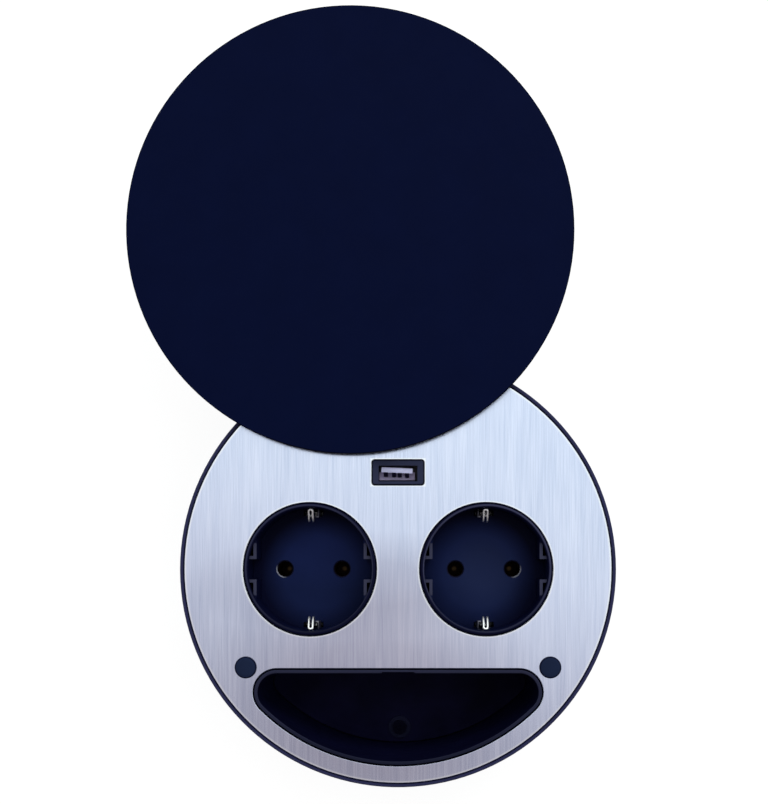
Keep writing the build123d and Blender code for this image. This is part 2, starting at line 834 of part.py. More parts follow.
# Storage tray, thin-walled with drafted sides
with BuildPart() as storage_tray:
    extrude(tray_profile(panel_top, tray_gap), amount=tray_base - panel_top, taper=tray_taper)
    extrude(
        tray_profile(panel_top, tray_gap + tray_wall),
        amount=-tray_depth,
        taper=tray_taper,
        mode=Mode.SUBTRACT,
    )
    fillet(storage_tray.edges().group_by(Axis.Z)[-1], tray_lip_round)
    with BuildSketch(level(panel_top, 0, -(tray_chord + tray_gap + tray_wall))):
        Rectangle(tray_notch_length, 2 * tray_notch_depth)
    extrude(amount=-tray_notch_height, mode=Mode.SUBTRACT)
    with BuildSketch(level(tray_floor_top, 0, tray_screw_y)):
        Circle(screw_radius)
    extrude(amount=-tray_floor, mode=Mode.SUBTRACT)
save(storage_tray, "storage_tray")

with BuildPart() as tray_washer:
    with BuildSketch(level(tray_floor_top, 0, tray_screw_y)):
        Circle(tray_washer_radius)
        Circle(screw_radius, mode=Mode.SUBTRACT)
    extrude(amount=tray_washer_thickness)
save(tray_washer, "tray_washer")

tray_screw = screw_group(
    [(0, tray_screw_y)],
    tray_floor_top + tray_washer_thickness,
    tray_washer_thickness + tray_floor + screw_grip,
    screw_radius,
    screw_head,
    screw_head_height,
)
save(tray_screw, "tray_screw")

# Bottom cover with the tray's post
with BuildPart() as bottom_cover:
    with BuildSketch(level(-barrel_depth)):
        Circle(cover_radius)
        with Locations((0, inlet_y)):
            Circle(inlet_groove, mode=Mode.SUBTRACT)
    extrude(amount=-cover_thickness)
    chamfer(bottom_cover.edges().group_by(Axis.Z)[0].sort_by(SortBy.RADIUS)[-1], cover_inset)
    with BuildSketch(level(-barrel_depth, 0, tray_screw_y)):
        Circle(tray_post_radius)
    extrude(amount=barrel_depth + tray_base)
    with BuildSketch(level(tray_base, 0, tray_screw_y)):
        Circle(screw_radius)
    extrude(amount=-screw_grip, mode=Mode.SUBTRACT)
    with BuildSketch(level(cover_bottom)):
        with Locations(*cover_screws_at):
            Circle(screw_radius)
    extrude(amount=cover_thickness, mode=Mode.SUBTRACT)
save(bottom_cover, "bottom_cover")

cover_screws = screw_group(
    cover_screws_at,
    cover_bottom,
    cover_thickness + screw_grip,
    screw_radius,
    screw_head,
    screw_head_height,
    down=False,
)
save(cover_screws, "cover_screws")

# Rubber grommet that lines the cable inlet
with BuildPart() as inlet_grommet:
    with BuildSketch(level(cover_bottom - inlet_lip_thickness, 0, inlet_y)):
        Circle(inlet_lip)
    extrude(amount=inlet_lip_thickness)
    with BuildSketch(level(cover_bottom, 0, inlet_y)):
        Circle(inlet_groove)
    extrude(amount=cover_thickness)
    with BuildSketch(level(-barrel_depth, 0, inlet_y)):
        Circle(inlet_lip)
    extrude(amount=inlet_lip_thickness)
    with BuildSketch(level(cover_bottom - inlet_lip_thickness, 0, inlet_y)):
        Circle(inlet_bore)
    extrude(amount=cover_thickness + 2 * inlet_lip_thickness, mode=Mode.SUBTRACT)
save(inlet_grommet, "inlet_grommet")

# Rubber pads that plug the clamp holes and carry the closed lid
with BuildPart() as lid_pads:
    with BuildSketch(level(panel_top)):
        with Locations(*clamp_places):
            Circle(pad_radius)
    extrude(amount=pad_height)
    chamfer(lid_pads.edges().group_by(Axis.Z)[-1], pad_bevel)
    with BuildSketch(level(panel_top)):
        with Locations(*clamp_places):
            Circle(pad_stem_radius)
    extrude(amount=pad_stem_end - panel_top)
save(lid_pads, "lid_pads")

# Worktop clamps: a screw, a nut that climbs it and a claw that folds out of the barrel
for corner, angle in clamp_angles.items():
    place = outward(angle) * clamp_radius
    clamp_screw = screw_group(
        [(place.X, place.Y)],
        clamp_seat,
        clamp_screw_length,
        clamp_screw_radius,
        clamp_head_radius,
        clamp_head_height,
    )
    save(clamp_screw, f"clamp_screw_{corner}")

    with BuildPart() as clamp_nut:
        with BuildSketch(at_clamp(angle, nut_bottom)):
            with Locations((-nut_back, 0)):
                Rectangle(nut_back + nut_front, 2 * nut_half_width, align=(Align.MIN, Align.CENTER))
        extrude(amount=nut_height)
        with BuildSketch(across_clamp(angle, hinge_z)):
            with Locations((claw_hinge, 0)):
                Circle(ear_radius)
            with Locations((nut_front, 0)):
                Rectangle(claw_hinge - nut_front, 2 * ear_radius, align=(Align.MIN, Align.CENTER))
        extrude(amount=ear_half, both=True)
        with BuildSketch(across_clamp(angle, hinge_z)):
            with Locations((claw_hinge, 0)):
                Circle(claw_pin_radius + running_gap)
        extrude(amount=ear_half, both=True, mode=Mode.SUBTRACT)
        with BuildSketch(at_clamp(angle, nut_bottom)):
            Circle(clamp_screw_radius + running_gap)
        extrude(amount=nut_height, mode=Mode.SUBTRACT)
    save(clamp_nut, f"clamp_nut_{corner}")

    with BuildPart() as clamp_claw:
        with BuildSketch(across_clamp(angle, hinge_z)):
            with BuildLine():
                inner, outer = claw_hinge - claw_inner, claw_hinge + claw_outer
                heel_round = claw_inner - claw_heel
                Polyline(
                    (claw_hinge, -claw_heel),
                    (outer, -claw_heel),
                    (outer, claw_length),
                    (inner, claw_length),
                    (inner, heel_round),
                )
                RadiusArc((inner, heel_round), (claw_hinge, -claw_heel), -claw_inner)
            make_face()
        extrude(amount=nut_half_width, both=True)
        with BuildSketch(across_clamp(angle, hinge_z)):
            with Locations((claw_hinge, ear_radius + claw_gap)):
                Rectangle(2 * claw_hinge, 2 * claw_length, align=(Align.CENTER, Align.MAX))
        extrude(amount=ear_half + claw_gap, both=True, mode=Mode.SUBTRACT)
        with BuildSketch(across_clamp(angle, hinge_z)):
            with Locations((claw_hinge, 0)):
                Circle(claw_pin_radius)
        extrude(amount=nut_half_width, both=True)
    save(clamp_claw, f"clamp_claw_{corner}")

# Pivot bush through the face plate and the housing's boss, with the collar that carries the lid
with BuildPart() as pivot_bush:
    with BuildSketch(level(panel_top, 0, pivot_y)):
        Circle(bush_radius)
    extrude(amount=-panel_top - pivot_boss_depth)
    with BuildSketch(level(panel_top, 0, pivot_y)):
        Circle(bush_collar_radius)
    extrude(amount=lid_bottom - panel_top)
    with BuildSketch(level(lid_bottom, 0, pivot_y)):
        Circle(bush_bore)
    extrude(amount=-lid_bottom - pivot_boss_depth, mode=Mode.SUBTRACT)
save(pivot_bush, "pivot_bush")

with BuildPart() as friction_washer:
    with BuildSketch(level(friction_washer_top, 0, pivot_y)):
        Circle(washer_radius)
        Circle(bush_bore, mode=Mode.SUBTRACT)
    extrude(amount=-washer_thickness)
save(friction_washer, "friction_washer")

# Stop washer, keyed to the pin's flat, whose nose meets the housing's lug at both ends of the swing
nose_start = 90 + lid_total_angle - lid_open_angle - nose_angle / 2
with BuildPart() as stop_washer:
    with BuildSketch(level(stop_washer_top, 0, pivot_y)):
        Circle(washer_radius)
    extrude(amount=-washer_thickness)
    nose_plane = Plane((0, pivot_y, 0), x_dir=outward(nose_start), z_dir=outward(nose_start - 90))
    with BuildSketch(nose_plane):
        with Locations((nose_radius / 2, stop_washer_top - washer_thickness / 2)):
            Rectangle(nose_radius, washer_thickness)
    revolve(axis=Axis((0, pivot_y, 0), (0, 0, 1)), revolution_arc=nose_angle)
    with BuildSketch(level(stop_washer_top, 0, pivot_y)):
        Circle(pivot_radius)
        with Locations((pivot_flat, 0)):
            Rectangle(pivot_radius, 2 * pivot_radius, align=(Align.MIN, Align.CENTER), mode=Mode.SUBTRACT)
    extrude(amount=-washer_thickness, mode=Mode.SUBTRACT)
save(stop_washer, "stop_washer")

with BuildPart() as retaining_ring:
    with BuildSketch(level(retainer_top, 0, pivot_y)):
        Circle(retainer_radius)
        Circle(pivot_groove, mode=Mode.SUBTRACT)
        Rectangle(retainer_radius, retainer_mouth, align=(Align.MIN, Align.CENTER), mode=Mode.SUBTRACT)
    extrude(amount=-retainer_thickness)
save(retaining_ring, "retaining_ring")

with BuildPart() as pivot_pin:
    with BuildSketch(level(lid_joint, 0, pivot_y)):
        Circle(pivot_head_radius)
    extrude(amount=-pivot_head_thickness)
    with BuildSketch(level(lid_joint, 0, pivot_y)):
        Circle(pivot_radius)
    extrude(amount=pivot_end - lid_joint)
    with BuildSketch(level(stop_washer_top, 0, pivot_y)):
        with Locations((pivot_flat, 0)):
            Rectangle(pivot_radius, 2 * pivot_radius, align=(Align.MIN, Align.CENTER))
    extrude(amount=pivot_end - stop_washer_top, mode=Mode.SUBTRACT)
    with BuildSketch(level(retainer_top, 0, pivot_y)):
        Circle(2 * pivot_radius)
        Circle(pivot_groove, mode=Mode.SUBTRACT)
    extrude(amount=-retainer_thickness, mode=Mode.SUBTRACT)
save(pivot_pin, "pivot_pin")

# Lid: a thin carrier plate below and the plain dark cover disc above it
with BuildPart() as lid_carrier:
    with BuildSketch(level(lid_bottom, lid_x, lid_y)):
        Circle(lid_radius - lid_carrier_inset)
    extrude(amount=lid_carrier_thickness)
    with BuildSketch(level(lid_bottom, 0, pivot_y)):
        Circle(pivot_radius)
    extrude(amount=lid_carrier_thickness, mode=Mode.SUBTRACT)
    with BuildSketch(level(lid_joint, 0, pivot_y)):
        Circle(pivot_head_radius)
    extrude(amount=-pivot_head_thickness, mode=Mode.SUBTRACT)
    with BuildSketch(level(lid_bottom)):
        with Locations(*lid_screws_at):
            Circle(screw_head + insert_gap)
    extrude(amount=lid_screw_seat, mode=Mode.SUBTRACT)
    with BuildSketch(level(lid_bottom)):
        with Locations(*lid_screws_at):
            Circle(screw_radius)
    extrude(amount=lid_carrier_thickness, mode=Mode.SUBTRACT)
save(lid_carrier, "lid_carrier")

with BuildPart() as lid_plate:
    with BuildSketch(level(lid_joint, lid_x, lid_y)):
        Circle(lid_radius)
    extrude(amount=lid_plate_thickness)
    chamfer(lid_plate.faces().sort_by(Axis.Z)[-1].edges(), lid_bevel)
    with BuildSketch(level(lid_bottom + lid_screw_seat)):
        with Locations(*lid_screws_at):
            Circle(screw_radius)
    extrude(amount=lid_screw_length, mode=Mode.SUBTRACT)
save(lid_plate, "lid_plate")

lid_screws = screw_group(
    lid_screws_at,
    lid_bottom + lid_screw_seat,
    lid_screw_length,
    screw_radius,
    screw_head,
    lid_screw_head_height,
    down=False,
)
save(lid_screws, "lid_screws")
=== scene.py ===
from math import atan2, cos, hypot, pi, radians, sin

import bmesh
import bpy
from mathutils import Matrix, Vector


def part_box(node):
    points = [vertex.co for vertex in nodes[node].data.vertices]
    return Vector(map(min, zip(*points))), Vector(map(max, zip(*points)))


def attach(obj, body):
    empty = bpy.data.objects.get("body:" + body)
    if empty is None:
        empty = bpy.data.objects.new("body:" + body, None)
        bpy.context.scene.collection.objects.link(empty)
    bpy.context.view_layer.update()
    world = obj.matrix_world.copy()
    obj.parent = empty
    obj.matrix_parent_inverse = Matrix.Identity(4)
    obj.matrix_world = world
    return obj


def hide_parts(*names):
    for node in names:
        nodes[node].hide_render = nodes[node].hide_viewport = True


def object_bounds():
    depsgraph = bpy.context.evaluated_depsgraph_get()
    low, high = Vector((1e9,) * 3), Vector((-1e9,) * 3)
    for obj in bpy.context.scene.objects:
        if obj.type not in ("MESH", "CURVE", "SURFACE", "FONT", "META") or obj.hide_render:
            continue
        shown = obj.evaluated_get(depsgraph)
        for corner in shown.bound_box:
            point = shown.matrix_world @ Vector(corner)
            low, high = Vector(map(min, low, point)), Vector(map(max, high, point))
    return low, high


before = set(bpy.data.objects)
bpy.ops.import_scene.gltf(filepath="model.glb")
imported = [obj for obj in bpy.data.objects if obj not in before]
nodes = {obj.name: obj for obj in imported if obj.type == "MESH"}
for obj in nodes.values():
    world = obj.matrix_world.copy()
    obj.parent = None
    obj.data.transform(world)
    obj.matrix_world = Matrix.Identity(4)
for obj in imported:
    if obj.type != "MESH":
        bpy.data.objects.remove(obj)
cad_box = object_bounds()

MM = 0.001

# Where the photograph was taken from, in metres: straight down, beside the middle of the face plate
CAMERA_PLACE = (0.0062, 0.0039, 0.4782)
CAMERA_LENS, CAMERA_SENSOR = 66.1, 36.0
CAMERA_SHIFT = (-0.0414, 0.193)
CAMERA_CLIP = (0.01, 20.0)

# Places on the part, in millimetres
PLATE_TOP = 3.2
PORT_HOLE_HALF = (8.4, 4.05)
PORT_HOLE_Y = 31.2
OUTLET_X = 28.4
OUTLET_HOLE = 21.5
PIN_X = 9.5
RECESS_RADIUS = 20.0
RECESS_FLOOR = -14.3
GUIDE_TOP = 1.7
GUIDE_END = 8.3
TRAY_FLOOR = -38.8
CORNERS = ("front_right", "front_left", "rear_right", "rear_left")


class Wiring:
    """A node tree in the making, with short calls for its nodes."""

    def __init__(self, tree):
        self.nodes, self.links = tree.nodes, tree.links

    def feed(self, socket, value):
        if isinstance(value, bpy.types.NodeSocket):
            self.links.new(value, socket)
        else:
            socket.default_value = value

    def node(self, kind, inputs=None, **settings):
        node = self.nodes.new("ShaderNode" + kind)
        for key, value in settings.items():
            setattr(node, key, value)
        for key, value in (inputs or {}).items():
            self.feed(node.inputs[key], value)
        return node

    def math(self, operation, first, second):
        return self.node("Math", {0: first, 1: second}, operation=operation).outputs[0]

    def plus(self, first, second):
        return self.math("ADD", first, second)

    def minus(self, first, second):
        return self.math("SUBTRACT", first, second)

    def times(self, first, second):
        return self.math("MULTIPLY", first, second)

    def larger(self, first, second):
        return self.math("MAXIMUM", first, second)

    def blend(self, factor, first, second, how="MIX"):
        """Mixes two colours, each written as three numbers or taken from a node."""
        first, second = (c if isinstance(c, bpy.types.NodeSocket) else (*c, 1) for c in (first, second))
        inputs = {0: factor, 6: first, 7: second}
        return self.node("Mix", inputs, data_type="RGBA", blend_type=how).outputs[2]

    def white_for_sight(self, seen, unseen):
        """Mixes two shaders: what the camera, metal and glass see, and what lights the object."""
        path = self.node("LightPath").outputs
        sight = path["Is Camera Ray"]
        for other in ("Is Glossy Ray", "Is Transmission Ray"):
            sight = self.larger(sight, path[other])
        return self.node("MixShader", {0: sight, 1: unseen, 2: seen}).outputs[0]


# Scales of the slow changes in the materials, in features to the metre, and their detail
PLASTIC_CLOUDS = (90, 4)
PLASTIC_GLOSS = (350, 3)
METAL_CLOUDS = (160, 3)
GRAIN_DETAIL = 3
GRAIN_STRENGTH = 0.5
MARKS_STRENGTH = 0.4
EDGE_TILT = (0.03, 0.12)


class Look(Wiring):
    """A material in the making."""

    def __init__(self, name, **sockets):
        self.material = bpy.data.materials.new(name)
        self.material.use_nodes = True
        super().__init__(self.material.node_tree)
        self.shader = self.nodes["Principled BSDF"]
        self.place = self.node("TexCoord").outputs["Object"]
        self.set(**sockets)

    def set(self, **sockets):
        for name, value in sockets.items():
            self.feed(self.shader.inputs[name.replace("_", " ")], value)

    def noise(self, scale, detail, stretch=(1, 1, 1)):
        """Noise with features about 1 / scale metres across, and longer along an axis of low stretch."""
        place = self.node("Mapping", {"Vector": self.place, "Scale": stretch}).outputs[0]
        return self.node("TexNoise", {"Vector": place, "Scale": scale, "Detail": detail}).outputs[0]

    def spread(self, value, low, high, start=0.3, end=0.7):
        """Takes values between start and end to those between low and high."""
        limits = {"From Min": start, "From Max": end, "To Min": low, "To Max": high}
        return self.node("MapRange", {"Value": value, **limits}).outputs[0]

    def step(self, value, start, end):
        """Rises from 0 to 1 between two values in millimetres, or falls if the first is the larger."""
        if start > end:
            return self.spread(value, 1, 0, end * MM, start * MM)
        return self.spread(value, 0, 1, start * MM, end * MM)

    def axes(self):
        """Place along X, Y and Z."""
        return self.node("SeparateXYZ", {0: self.place}).outputs

    def reach(self, x, y):
        """Length of a level line of which the sides are x and y."""
        flat = self.node("CombineXYZ", {0: x, 1: y}).outputs[0]
        return self.node("VectorMath", {0: flat}, operation="LENGTH").outputs["Value"]

    def size(self, value):
        """A value without its sign."""
        return self.math("ABSOLUTE", value, 0.0)

    def beside(self, place, distance):
        """How far a place on one axis is from a distance, in millimetres, to either side of the middle."""
        return self.minus(self.size(place), distance * MM)

    def tilt(self):
        """0 where the surface is level, and 1 where it is upright."""
        normal = self.node("TexCoord").outputs["Normal"]
        return self.minus(1.0, self.size(self.node("SeparateXYZ", {0: normal}).outputs[2]))

    def bump(self, height, distance, strength):
        inputs = {"Height": height, "Distance": distance, "Strength": strength}
        return self.node("Bump", inputs).outputs[0]

    def clouds(self):
        """The slow change of a plastic's colour, from 0 to 1."""
        return self.spread(self.noise(*PLASTIC_CLOUDS), 0, 1)

    def plastic(self, tone, roughness, grain, relief):
        """Sets the colour of a plastic or rubber, with slight changes of gloss and fine grain from its
        mould."""
        self.set(
            Base_Color=tone,
            Roughness=self.spread(self.noise(*PLASTIC_GLOSS), *roughness),
            Normal=self.bump(self.noise(grain, GRAIN_DETAIL), relief, GRAIN_STRENGTH),
        )
        return self.material


def shade(colour, factor):
    return tuple(min(1.0, c * factor) for c in colour)


def moulded(name, colour, roughness=0.45, specular=0.3, grain=9000, relief=8e-6, vary=0.12, edge=None):
    """Moulded plastic or rubber with slight clouds, and a darker colour of painted shade where the surface
    slopes down at an edge."""
    look = Look(name, Specular_IOR_Level=specular)
    tone = look.blend(look.clouds(), shade(colour, 1 - vary), shade(colour, 1 + vary))
    # Painted shade on the sides that slope down
    if edge:
        tone = look.blend(look.spread(look.tilt(), 0, 1, *EDGE_TILT), tone, edge)
    return look.plastic(tone, (roughness - 0.05, roughness + 0.06), grain, relief)


def metal(name, colour, roughness=0.3, grain=2500, relief=4e-6, vary=0.08, stretch=(1, 1, 1)):
    """Plated, rolled or cast metal: faint clouds, and fine marks along one way if it is stretched."""
    look = Look(name, Metallic=1.0)
    marks = look.noise(grain, 4, stretch)
    tone = look.plus(look.spread(look.noise(*METAL_CLOUDS), 0, 0.5), look.spread(marks, 0, 0.5))
    look.set(
        Base_Color=look.blend(tone, shade(colour, 1 - vary), shade(colour, 1 + vary)),
        Roughness=look.spread(marks, roughness - 0.07, roughness + 0.08),
        Normal=look.bump(marks, relief, MARKS_STRENGTH),
    )
    return look.material


# Outlets, in millimetres and colours. A pair of colours is for the two ends of a cloud, or for the left and
# the right outlet.
# Painted light and shade on the recess: paler to the rear, a pool of painted light in the middle of the right
# outlet, and painted shade darkening towards the recess's wall
RECESS_FRONT = ((0.0062, 0.0120, 0.054), (0.0074, 0.0142, 0.064))
RECESS_REAR = ((0.0118, 0.0220, 0.108), (0.0142, 0.0264, 0.129))
RECESS_REAR_Y = (-7.0, 14.0)
RECESS_PAINTED_LIGHT = (0.0150, 0.0240, 0.080)
RECESS_PALE_RADIUS = (16.0, 6.0)
RECESS_PALE_SHARE = 0.85
RECESS_PAINTED_SHADE = (0.0024, 0.0034, 0.0200)
RECESS_DIM_RADIUS = (11.8, 19.8)
RECESS_DIM_LEAN = (0.14, 0.08)
PIN_RADIUS = (3.0, 2.93)
PIN_CHAMFER_Z = (RECESS_FLOOR - 0.42, RECESS_FLOOR - 0.36)
PIN_CHAMFER = (0.010, 0.012, 0.036)
# Painted shade: the bore below the chamfer is painted near black
PIN_HOLE_SHADE = (0.0012, 0.0012, 0.004)
# Painted glint on one side of each pin hole's chamfer
GLINT = (0.24, 0.25, 0.31)
GLINT_SLANT = (0.8, 0.6)
GLINT_FROM = (1.2, 2.3)
GLINT_PIN = (-6.0, -4.0)
GUIDE_TOP_Z = (GUIDE_TOP - 0.4, GUIDE_TOP - 0.1)
# Painted highlight: the guides' tops are painted lighter, as lit from above
GUIDE_TOP_HIGHLIGHT = (0.037, 0.039, 0.072)
RIM = (0.0030, 0.0036, 0.0180)
RIM_INSIDE = RECESS_RADIUS - 0.1
# Painted highlight: a light line round the rim's inner edge, off its middle, dimmer to the front and brighter
# on the right outlet
LINE_MIDDLE = (0.27, 0.25)
LINE_INSIDE, LINE_OUTSIDE = (20.05, 20.2), (20.75, 20.6)
LINE_FRONT = ((0.006, 0.007, 0.019), (0.014, 0.016, 0.036))
LINE_REAR = ((0.022, 0.024, 0.054), (0.034, 0.036, 0.074))


def outlet_plastic():
    """The outlets: paler to the rear, and in the middle of the right one, as painted light; darker towards
    the recess's wall, as painted shade; painted black shade in the pin holes, where one chamfer has a painted
    glint; a painted highlight on top of the guides; with a painted highlight line round the rim's inner edge,
    a little off its middle."""
    look = Look("outlet_plastic", Specular_IOR_Level=0.03)
    x, y, z = look.axes()
    across = look.beside(x, OUTLET_X)
    radius = look.reach(across, y)
    right = look.step(x, 0.0, 1.0)
    above = look.step(z, *GUIDE_TOP_Z)

    clouds = look.clouds()
    front, rear = look.blend(clouds, *RECESS_FRONT), look.blend(clouds, *RECESS_REAR)
    # Painted light: paler to the rear
    tone = look.blend(look.step(y, *RECESS_REAR_Y), front, rear)
    # Painted light: paler in the middle of the right outlet's recess
    pale = look.times(right, look.step(radius, *RECESS_PALE_RADIUS))
    tone = look.blend(look.times(pale, RECESS_PALE_SHARE), tone, RECESS_PAINTED_LIGHT)
    # Painted shade: darker towards the recess's wall
    lean = look.plus(*(look.times(place, share) for place, share in zip((across, y), RECESS_DIM_LEAN)))
    tone = look.blend(look.step(look.plus(radius, lean), *RECESS_DIM_RADIUS), tone, RECESS_PAINTED_SHADE)

    pin_radius = look.reach(look.beside(across, PIN_X), y)
    chamfers = look.times(look.step(pin_radius, *PIN_RADIUS), look.step(z, *PIN_CHAMFER_Z))
    from_pin = look.beside(x, OUTLET_X + PIN_X)
    slant = look.minus(*(look.times(place, share) for place, share in zip((from_pin, y), GLINT_SLANT)))
    glint = look.times(look.step(slant, *GLINT_FROM), look.step(from_pin, *GLINT_PIN))
    # Painted glint on one side of each chamfer
    tone = look.blend(chamfers, tone, look.blend(glint, PIN_CHAMFER, GLINT))
    # Painted shade: near black down the pin holes
    tone = look.blend(look.step(z, *reversed(PIN_CHAMFER_Z)), tone, PIN_HOLE_SHADE)

    # Painted highlight on top of the guides
    inside = look.times(above, look.step(radius, RECESS_RADIUS, RIM_INSIDE))
    guides = look.times(inside, look.step(look.size(y), GUIDE_END + 0.2, GUIDE_END))
    tone = look.blend(guides, tone, GUIDE_TOP_HIGHLIGHT)
    tone = look.blend(look.times(above, look.step(radius, RIM_INSIDE, RECESS_RADIUS)), tone, RIM)

    # Painted highlight line round the rim's inner edge
    line_radius = look.reach(*(look.minus(place, c * MM) for place, c in zip((across, y), LINE_MIDDLE)))
    line = look.times(look.step(line_radius, *LINE_INSIDE), look.step(line_radius, *LINE_OUTSIDE))
    line_front, line_rear = look.blend(right, *LINE_FRONT), look.blend(right, *LINE_REAR)
    rim_highlight = look.blend(look.step(y, -RECESS_RADIUS, 0), line_front, line_rear)
    return look.plastic(look.blend(look.times(above, line), tone, rim_highlight), (0.36, 0.44), 7000, 6e-6)


# Tray, in millimetres and colours
TRAY_LOW = ((0.0040, 0.0044, 0.0250), (0.0056, 0.0062, 0.0340))
TRAY_HIGH = ((0.0015, 0.0017, 0.0100), (0.0021, 0.0024, 0.0135))
TRAY_WALL_Z = (-30.0, 0.0)
# Painted shade: a black line round the bottom of the wall, where it meets the floor
TRAY_CREASE_SHADE = (0.0001, 0.0001, 0.0006)
TRAY_LINE_Z = (TRAY_FLOOR + 3.4, TRAY_FLOOR + 2.4)
TRAY_BASE = ((0.0014, 0.0012, 0.0140), (0.0050, 0.0043, 0.0300))
TRAY_BASE_Z = (TRAY_FLOOR + 0.2, TRAY_FLOOR + 0.1)
# Painted highlight along the top of the lip, brighter to the rear
TRAY_LIP = ((0.0095, 0.0108, 0.0255), (0.0185, 0.0200, 0.0430))
TRAY_LIP_Y = (-60, -36)
TRAY_LIP_Z = (PLATE_TOP - 0.45, PLATE_TOP - 0.25)


def tray_plastic():
    """The tray: nearly black inside and darker towards the top of its wall, with painted shade as a black
    line round the bottom of its wall, and a painted highlight along its lip, more so to the rear."""
    look = Look("tray_plastic", Specular_IOR_Level=0.03)
    _, y, z = look.axes()
    clouds = look.clouds()
    low, high = look.blend(clouds, *TRAY_LOW), look.blend(clouds, *TRAY_HIGH)
    tone = look.blend(look.step(z, *TRAY_WALL_Z), low, high)
    # Painted shade in the crease between wall and floor
    tone = look.blend(look.step(z, *TRAY_LINE_Z), tone, TRAY_CREASE_SHADE)
    tone = look.blend(look.step(z, *TRAY_BASE_Z), tone, look.blend(clouds, *TRAY_BASE))
    # Painted highlight along the lip, brighter to the rear
    lip = look.blend(look.step(y, *TRAY_LIP_Y), *TRAY_LIP)
    return look.plastic(look.blend(look.step(z, *TRAY_LIP_Z), tone, lip), (0.4, 0.5), 7000, 6e-6)


# Painted shade: the brass is painted nearly black for the shade deep in the pin holes
BRASS_PAINTED_SHADE = ((0.007, 0.0042, 0.0045), (0.012, 0.0070, 0.0065))
# Painted glint in the middle of each sleeve
SLEEVE_GLINT = (0.13, 0.080, 0.038)
SLEEVE_GLINT_RADIUS = (1.0, 0.4)


def contact_brass():
    """The sleeves and bus bars: painted nearly black as shade deep in the holes, with a painted glint in each
    sleeve's middle.
    """
    look = Look("contact_brass", Metallic=1.0)
    x, y, _ = look.axes()
    to_pin = look.reach(look.beside(look.beside(x, OUTLET_X), PIN_X), y)
    tone = look.blend(look.spread(look.noise(*METAL_CLOUDS), 0, 1), *BRASS_PAINTED_SHADE)
    look.set(
        # Painted glint near each sleeve's axis
        Base_Color=look.blend(look.step(to_pin, *SLEEVE_GLINT_RADIUS), tone, SLEEVE_GLINT),
        Roughness=look.spread(look.noise(2500, 3), 0.42, 0.55),
    )
    return look.material


# Face plate. Each streak has its stretch, detail and share, and each patch of painted shade its middle, half
# size and tint.
STEEL = ((0.535, 0.600, 0.780), (0.705, 0.760, 0.930))
STEEL_RANGE = (0.36, 0.64)
FINE_STREAKS = ((5200, 70, 70), 3, 0.4)
MEDIUM_STREAKS = ((1500, 42, 42), 2, 0.35)
WIDE_STREAKS = ((330, 16, 16), 2, 0.25)
STEEL_UNEVEN = (28, 2)
STEEL_UNEVEN_HALF = 0.03
PLATE_PAINTED_SHADE = (
    ((-8.0, -44.0), (54.0, 46.0), (0.80, 0.75, 0.75)),
    ((-12.0, -5.0), (55.0, 17.0), (0.81, 0.79, 0.80)),
)
CLOUD_EDGE = (0.45, 1.05)
# Painted highlight: the steel is painted brighter along its outer edge and round the port and outlet holes
PLATE_HIGHLIGHT = (0.95, 0.98, 1.0)
PLATE_HIGHLIGHT_SHARE = 0.6
PLATE_HIGHLIGHT_HOLE = (0.75, 0.35)
PLATE_HIGHLIGHT_EDGE = (68.0, 68.4)


def plate_steel():
    """The face plate: streaks of brushing along Y, fine ones within wide ones, duller lilac patches of
    painted shade over the front of it, and a painted highlight along its outer edge and round the port and
    outlet holes."""
    look = Look("plate_steel", Metallic=1.0, Anisotropic=0.75)
    x, y, _ = look.axes()
    fine, medium, wide = (
        look.noise(1, detail, stretch) for stretch, detail, _ in (FINE_STREAKS, MEDIUM_STREAKS, WIDE_STREAKS)
    )
    streaks = look.plus(look.times(fine, FINE_STREAKS[2]), look.times(medium, MEDIUM_STREAKS[2]))
    streaks = look.plus(streaks, look.times(wide, WIDE_STREAKS[2]))
    uneven = look.spread(look.noise(*STEEL_UNEVEN), -STEEL_UNEVEN_HALF, STEEL_UNEVEN_HALF)
    steel = look.blend(look.spread(look.plus(streaks, uneven), 0, 1, *STEEL_RANGE), *STEEL)
    # Painted shade: the steel is dulled in lilac patches over its front and middle, where its reflection is
    # dimmer
    for middle, half, tint in PLATE_PAINTED_SHADE:
        sides = [
            look.math("DIVIDE", look.minus(place, m * MM), h * MM)
            for place, m, h in zip((x, y), middle, half)
        ]
        steel = look.blend(look.spread(look.reach(*sides), 1, 0, *CLOUD_EDGE), steel, tint, "MULTIPLY")
    from_port = look.larger(
        look.beside(x, PORT_HOLE_HALF[0]),
        look.beside(look.minus(y, PORT_HOLE_Y * MM), PORT_HOLE_HALF[1]),
    )
    from_outlet = look.minus(look.reach(look.beside(x, OUTLET_X), y), OUTLET_HOLE * MM)
    # Painted highlight along the outer edge and round the holes
    edge_highlight = look.step(look.reach(x, y), *PLATE_HIGHLIGHT_EDGE)
    for from_hole in (from_port, from_outlet):
        edge_highlight = look.larger(edge_highlight, look.step(from_hole, *PLATE_HIGHLIGHT_HOLE))
    look.set(
        Base_Color=look.blend(look.times(edge_highlight, PLATE_HIGHLIGHT_SHARE), steel, PLATE_HIGHLIGHT),
        Roughness=look.spread(medium, 0.18, 0.25),
        Tangent=look.node("CombineXYZ", {0: 1.0, 1: 0.0, 2: 0.0}).outputs[0],
        Normal=look.bump(fine, 6e-6, 0.25),
    )
    return look.material


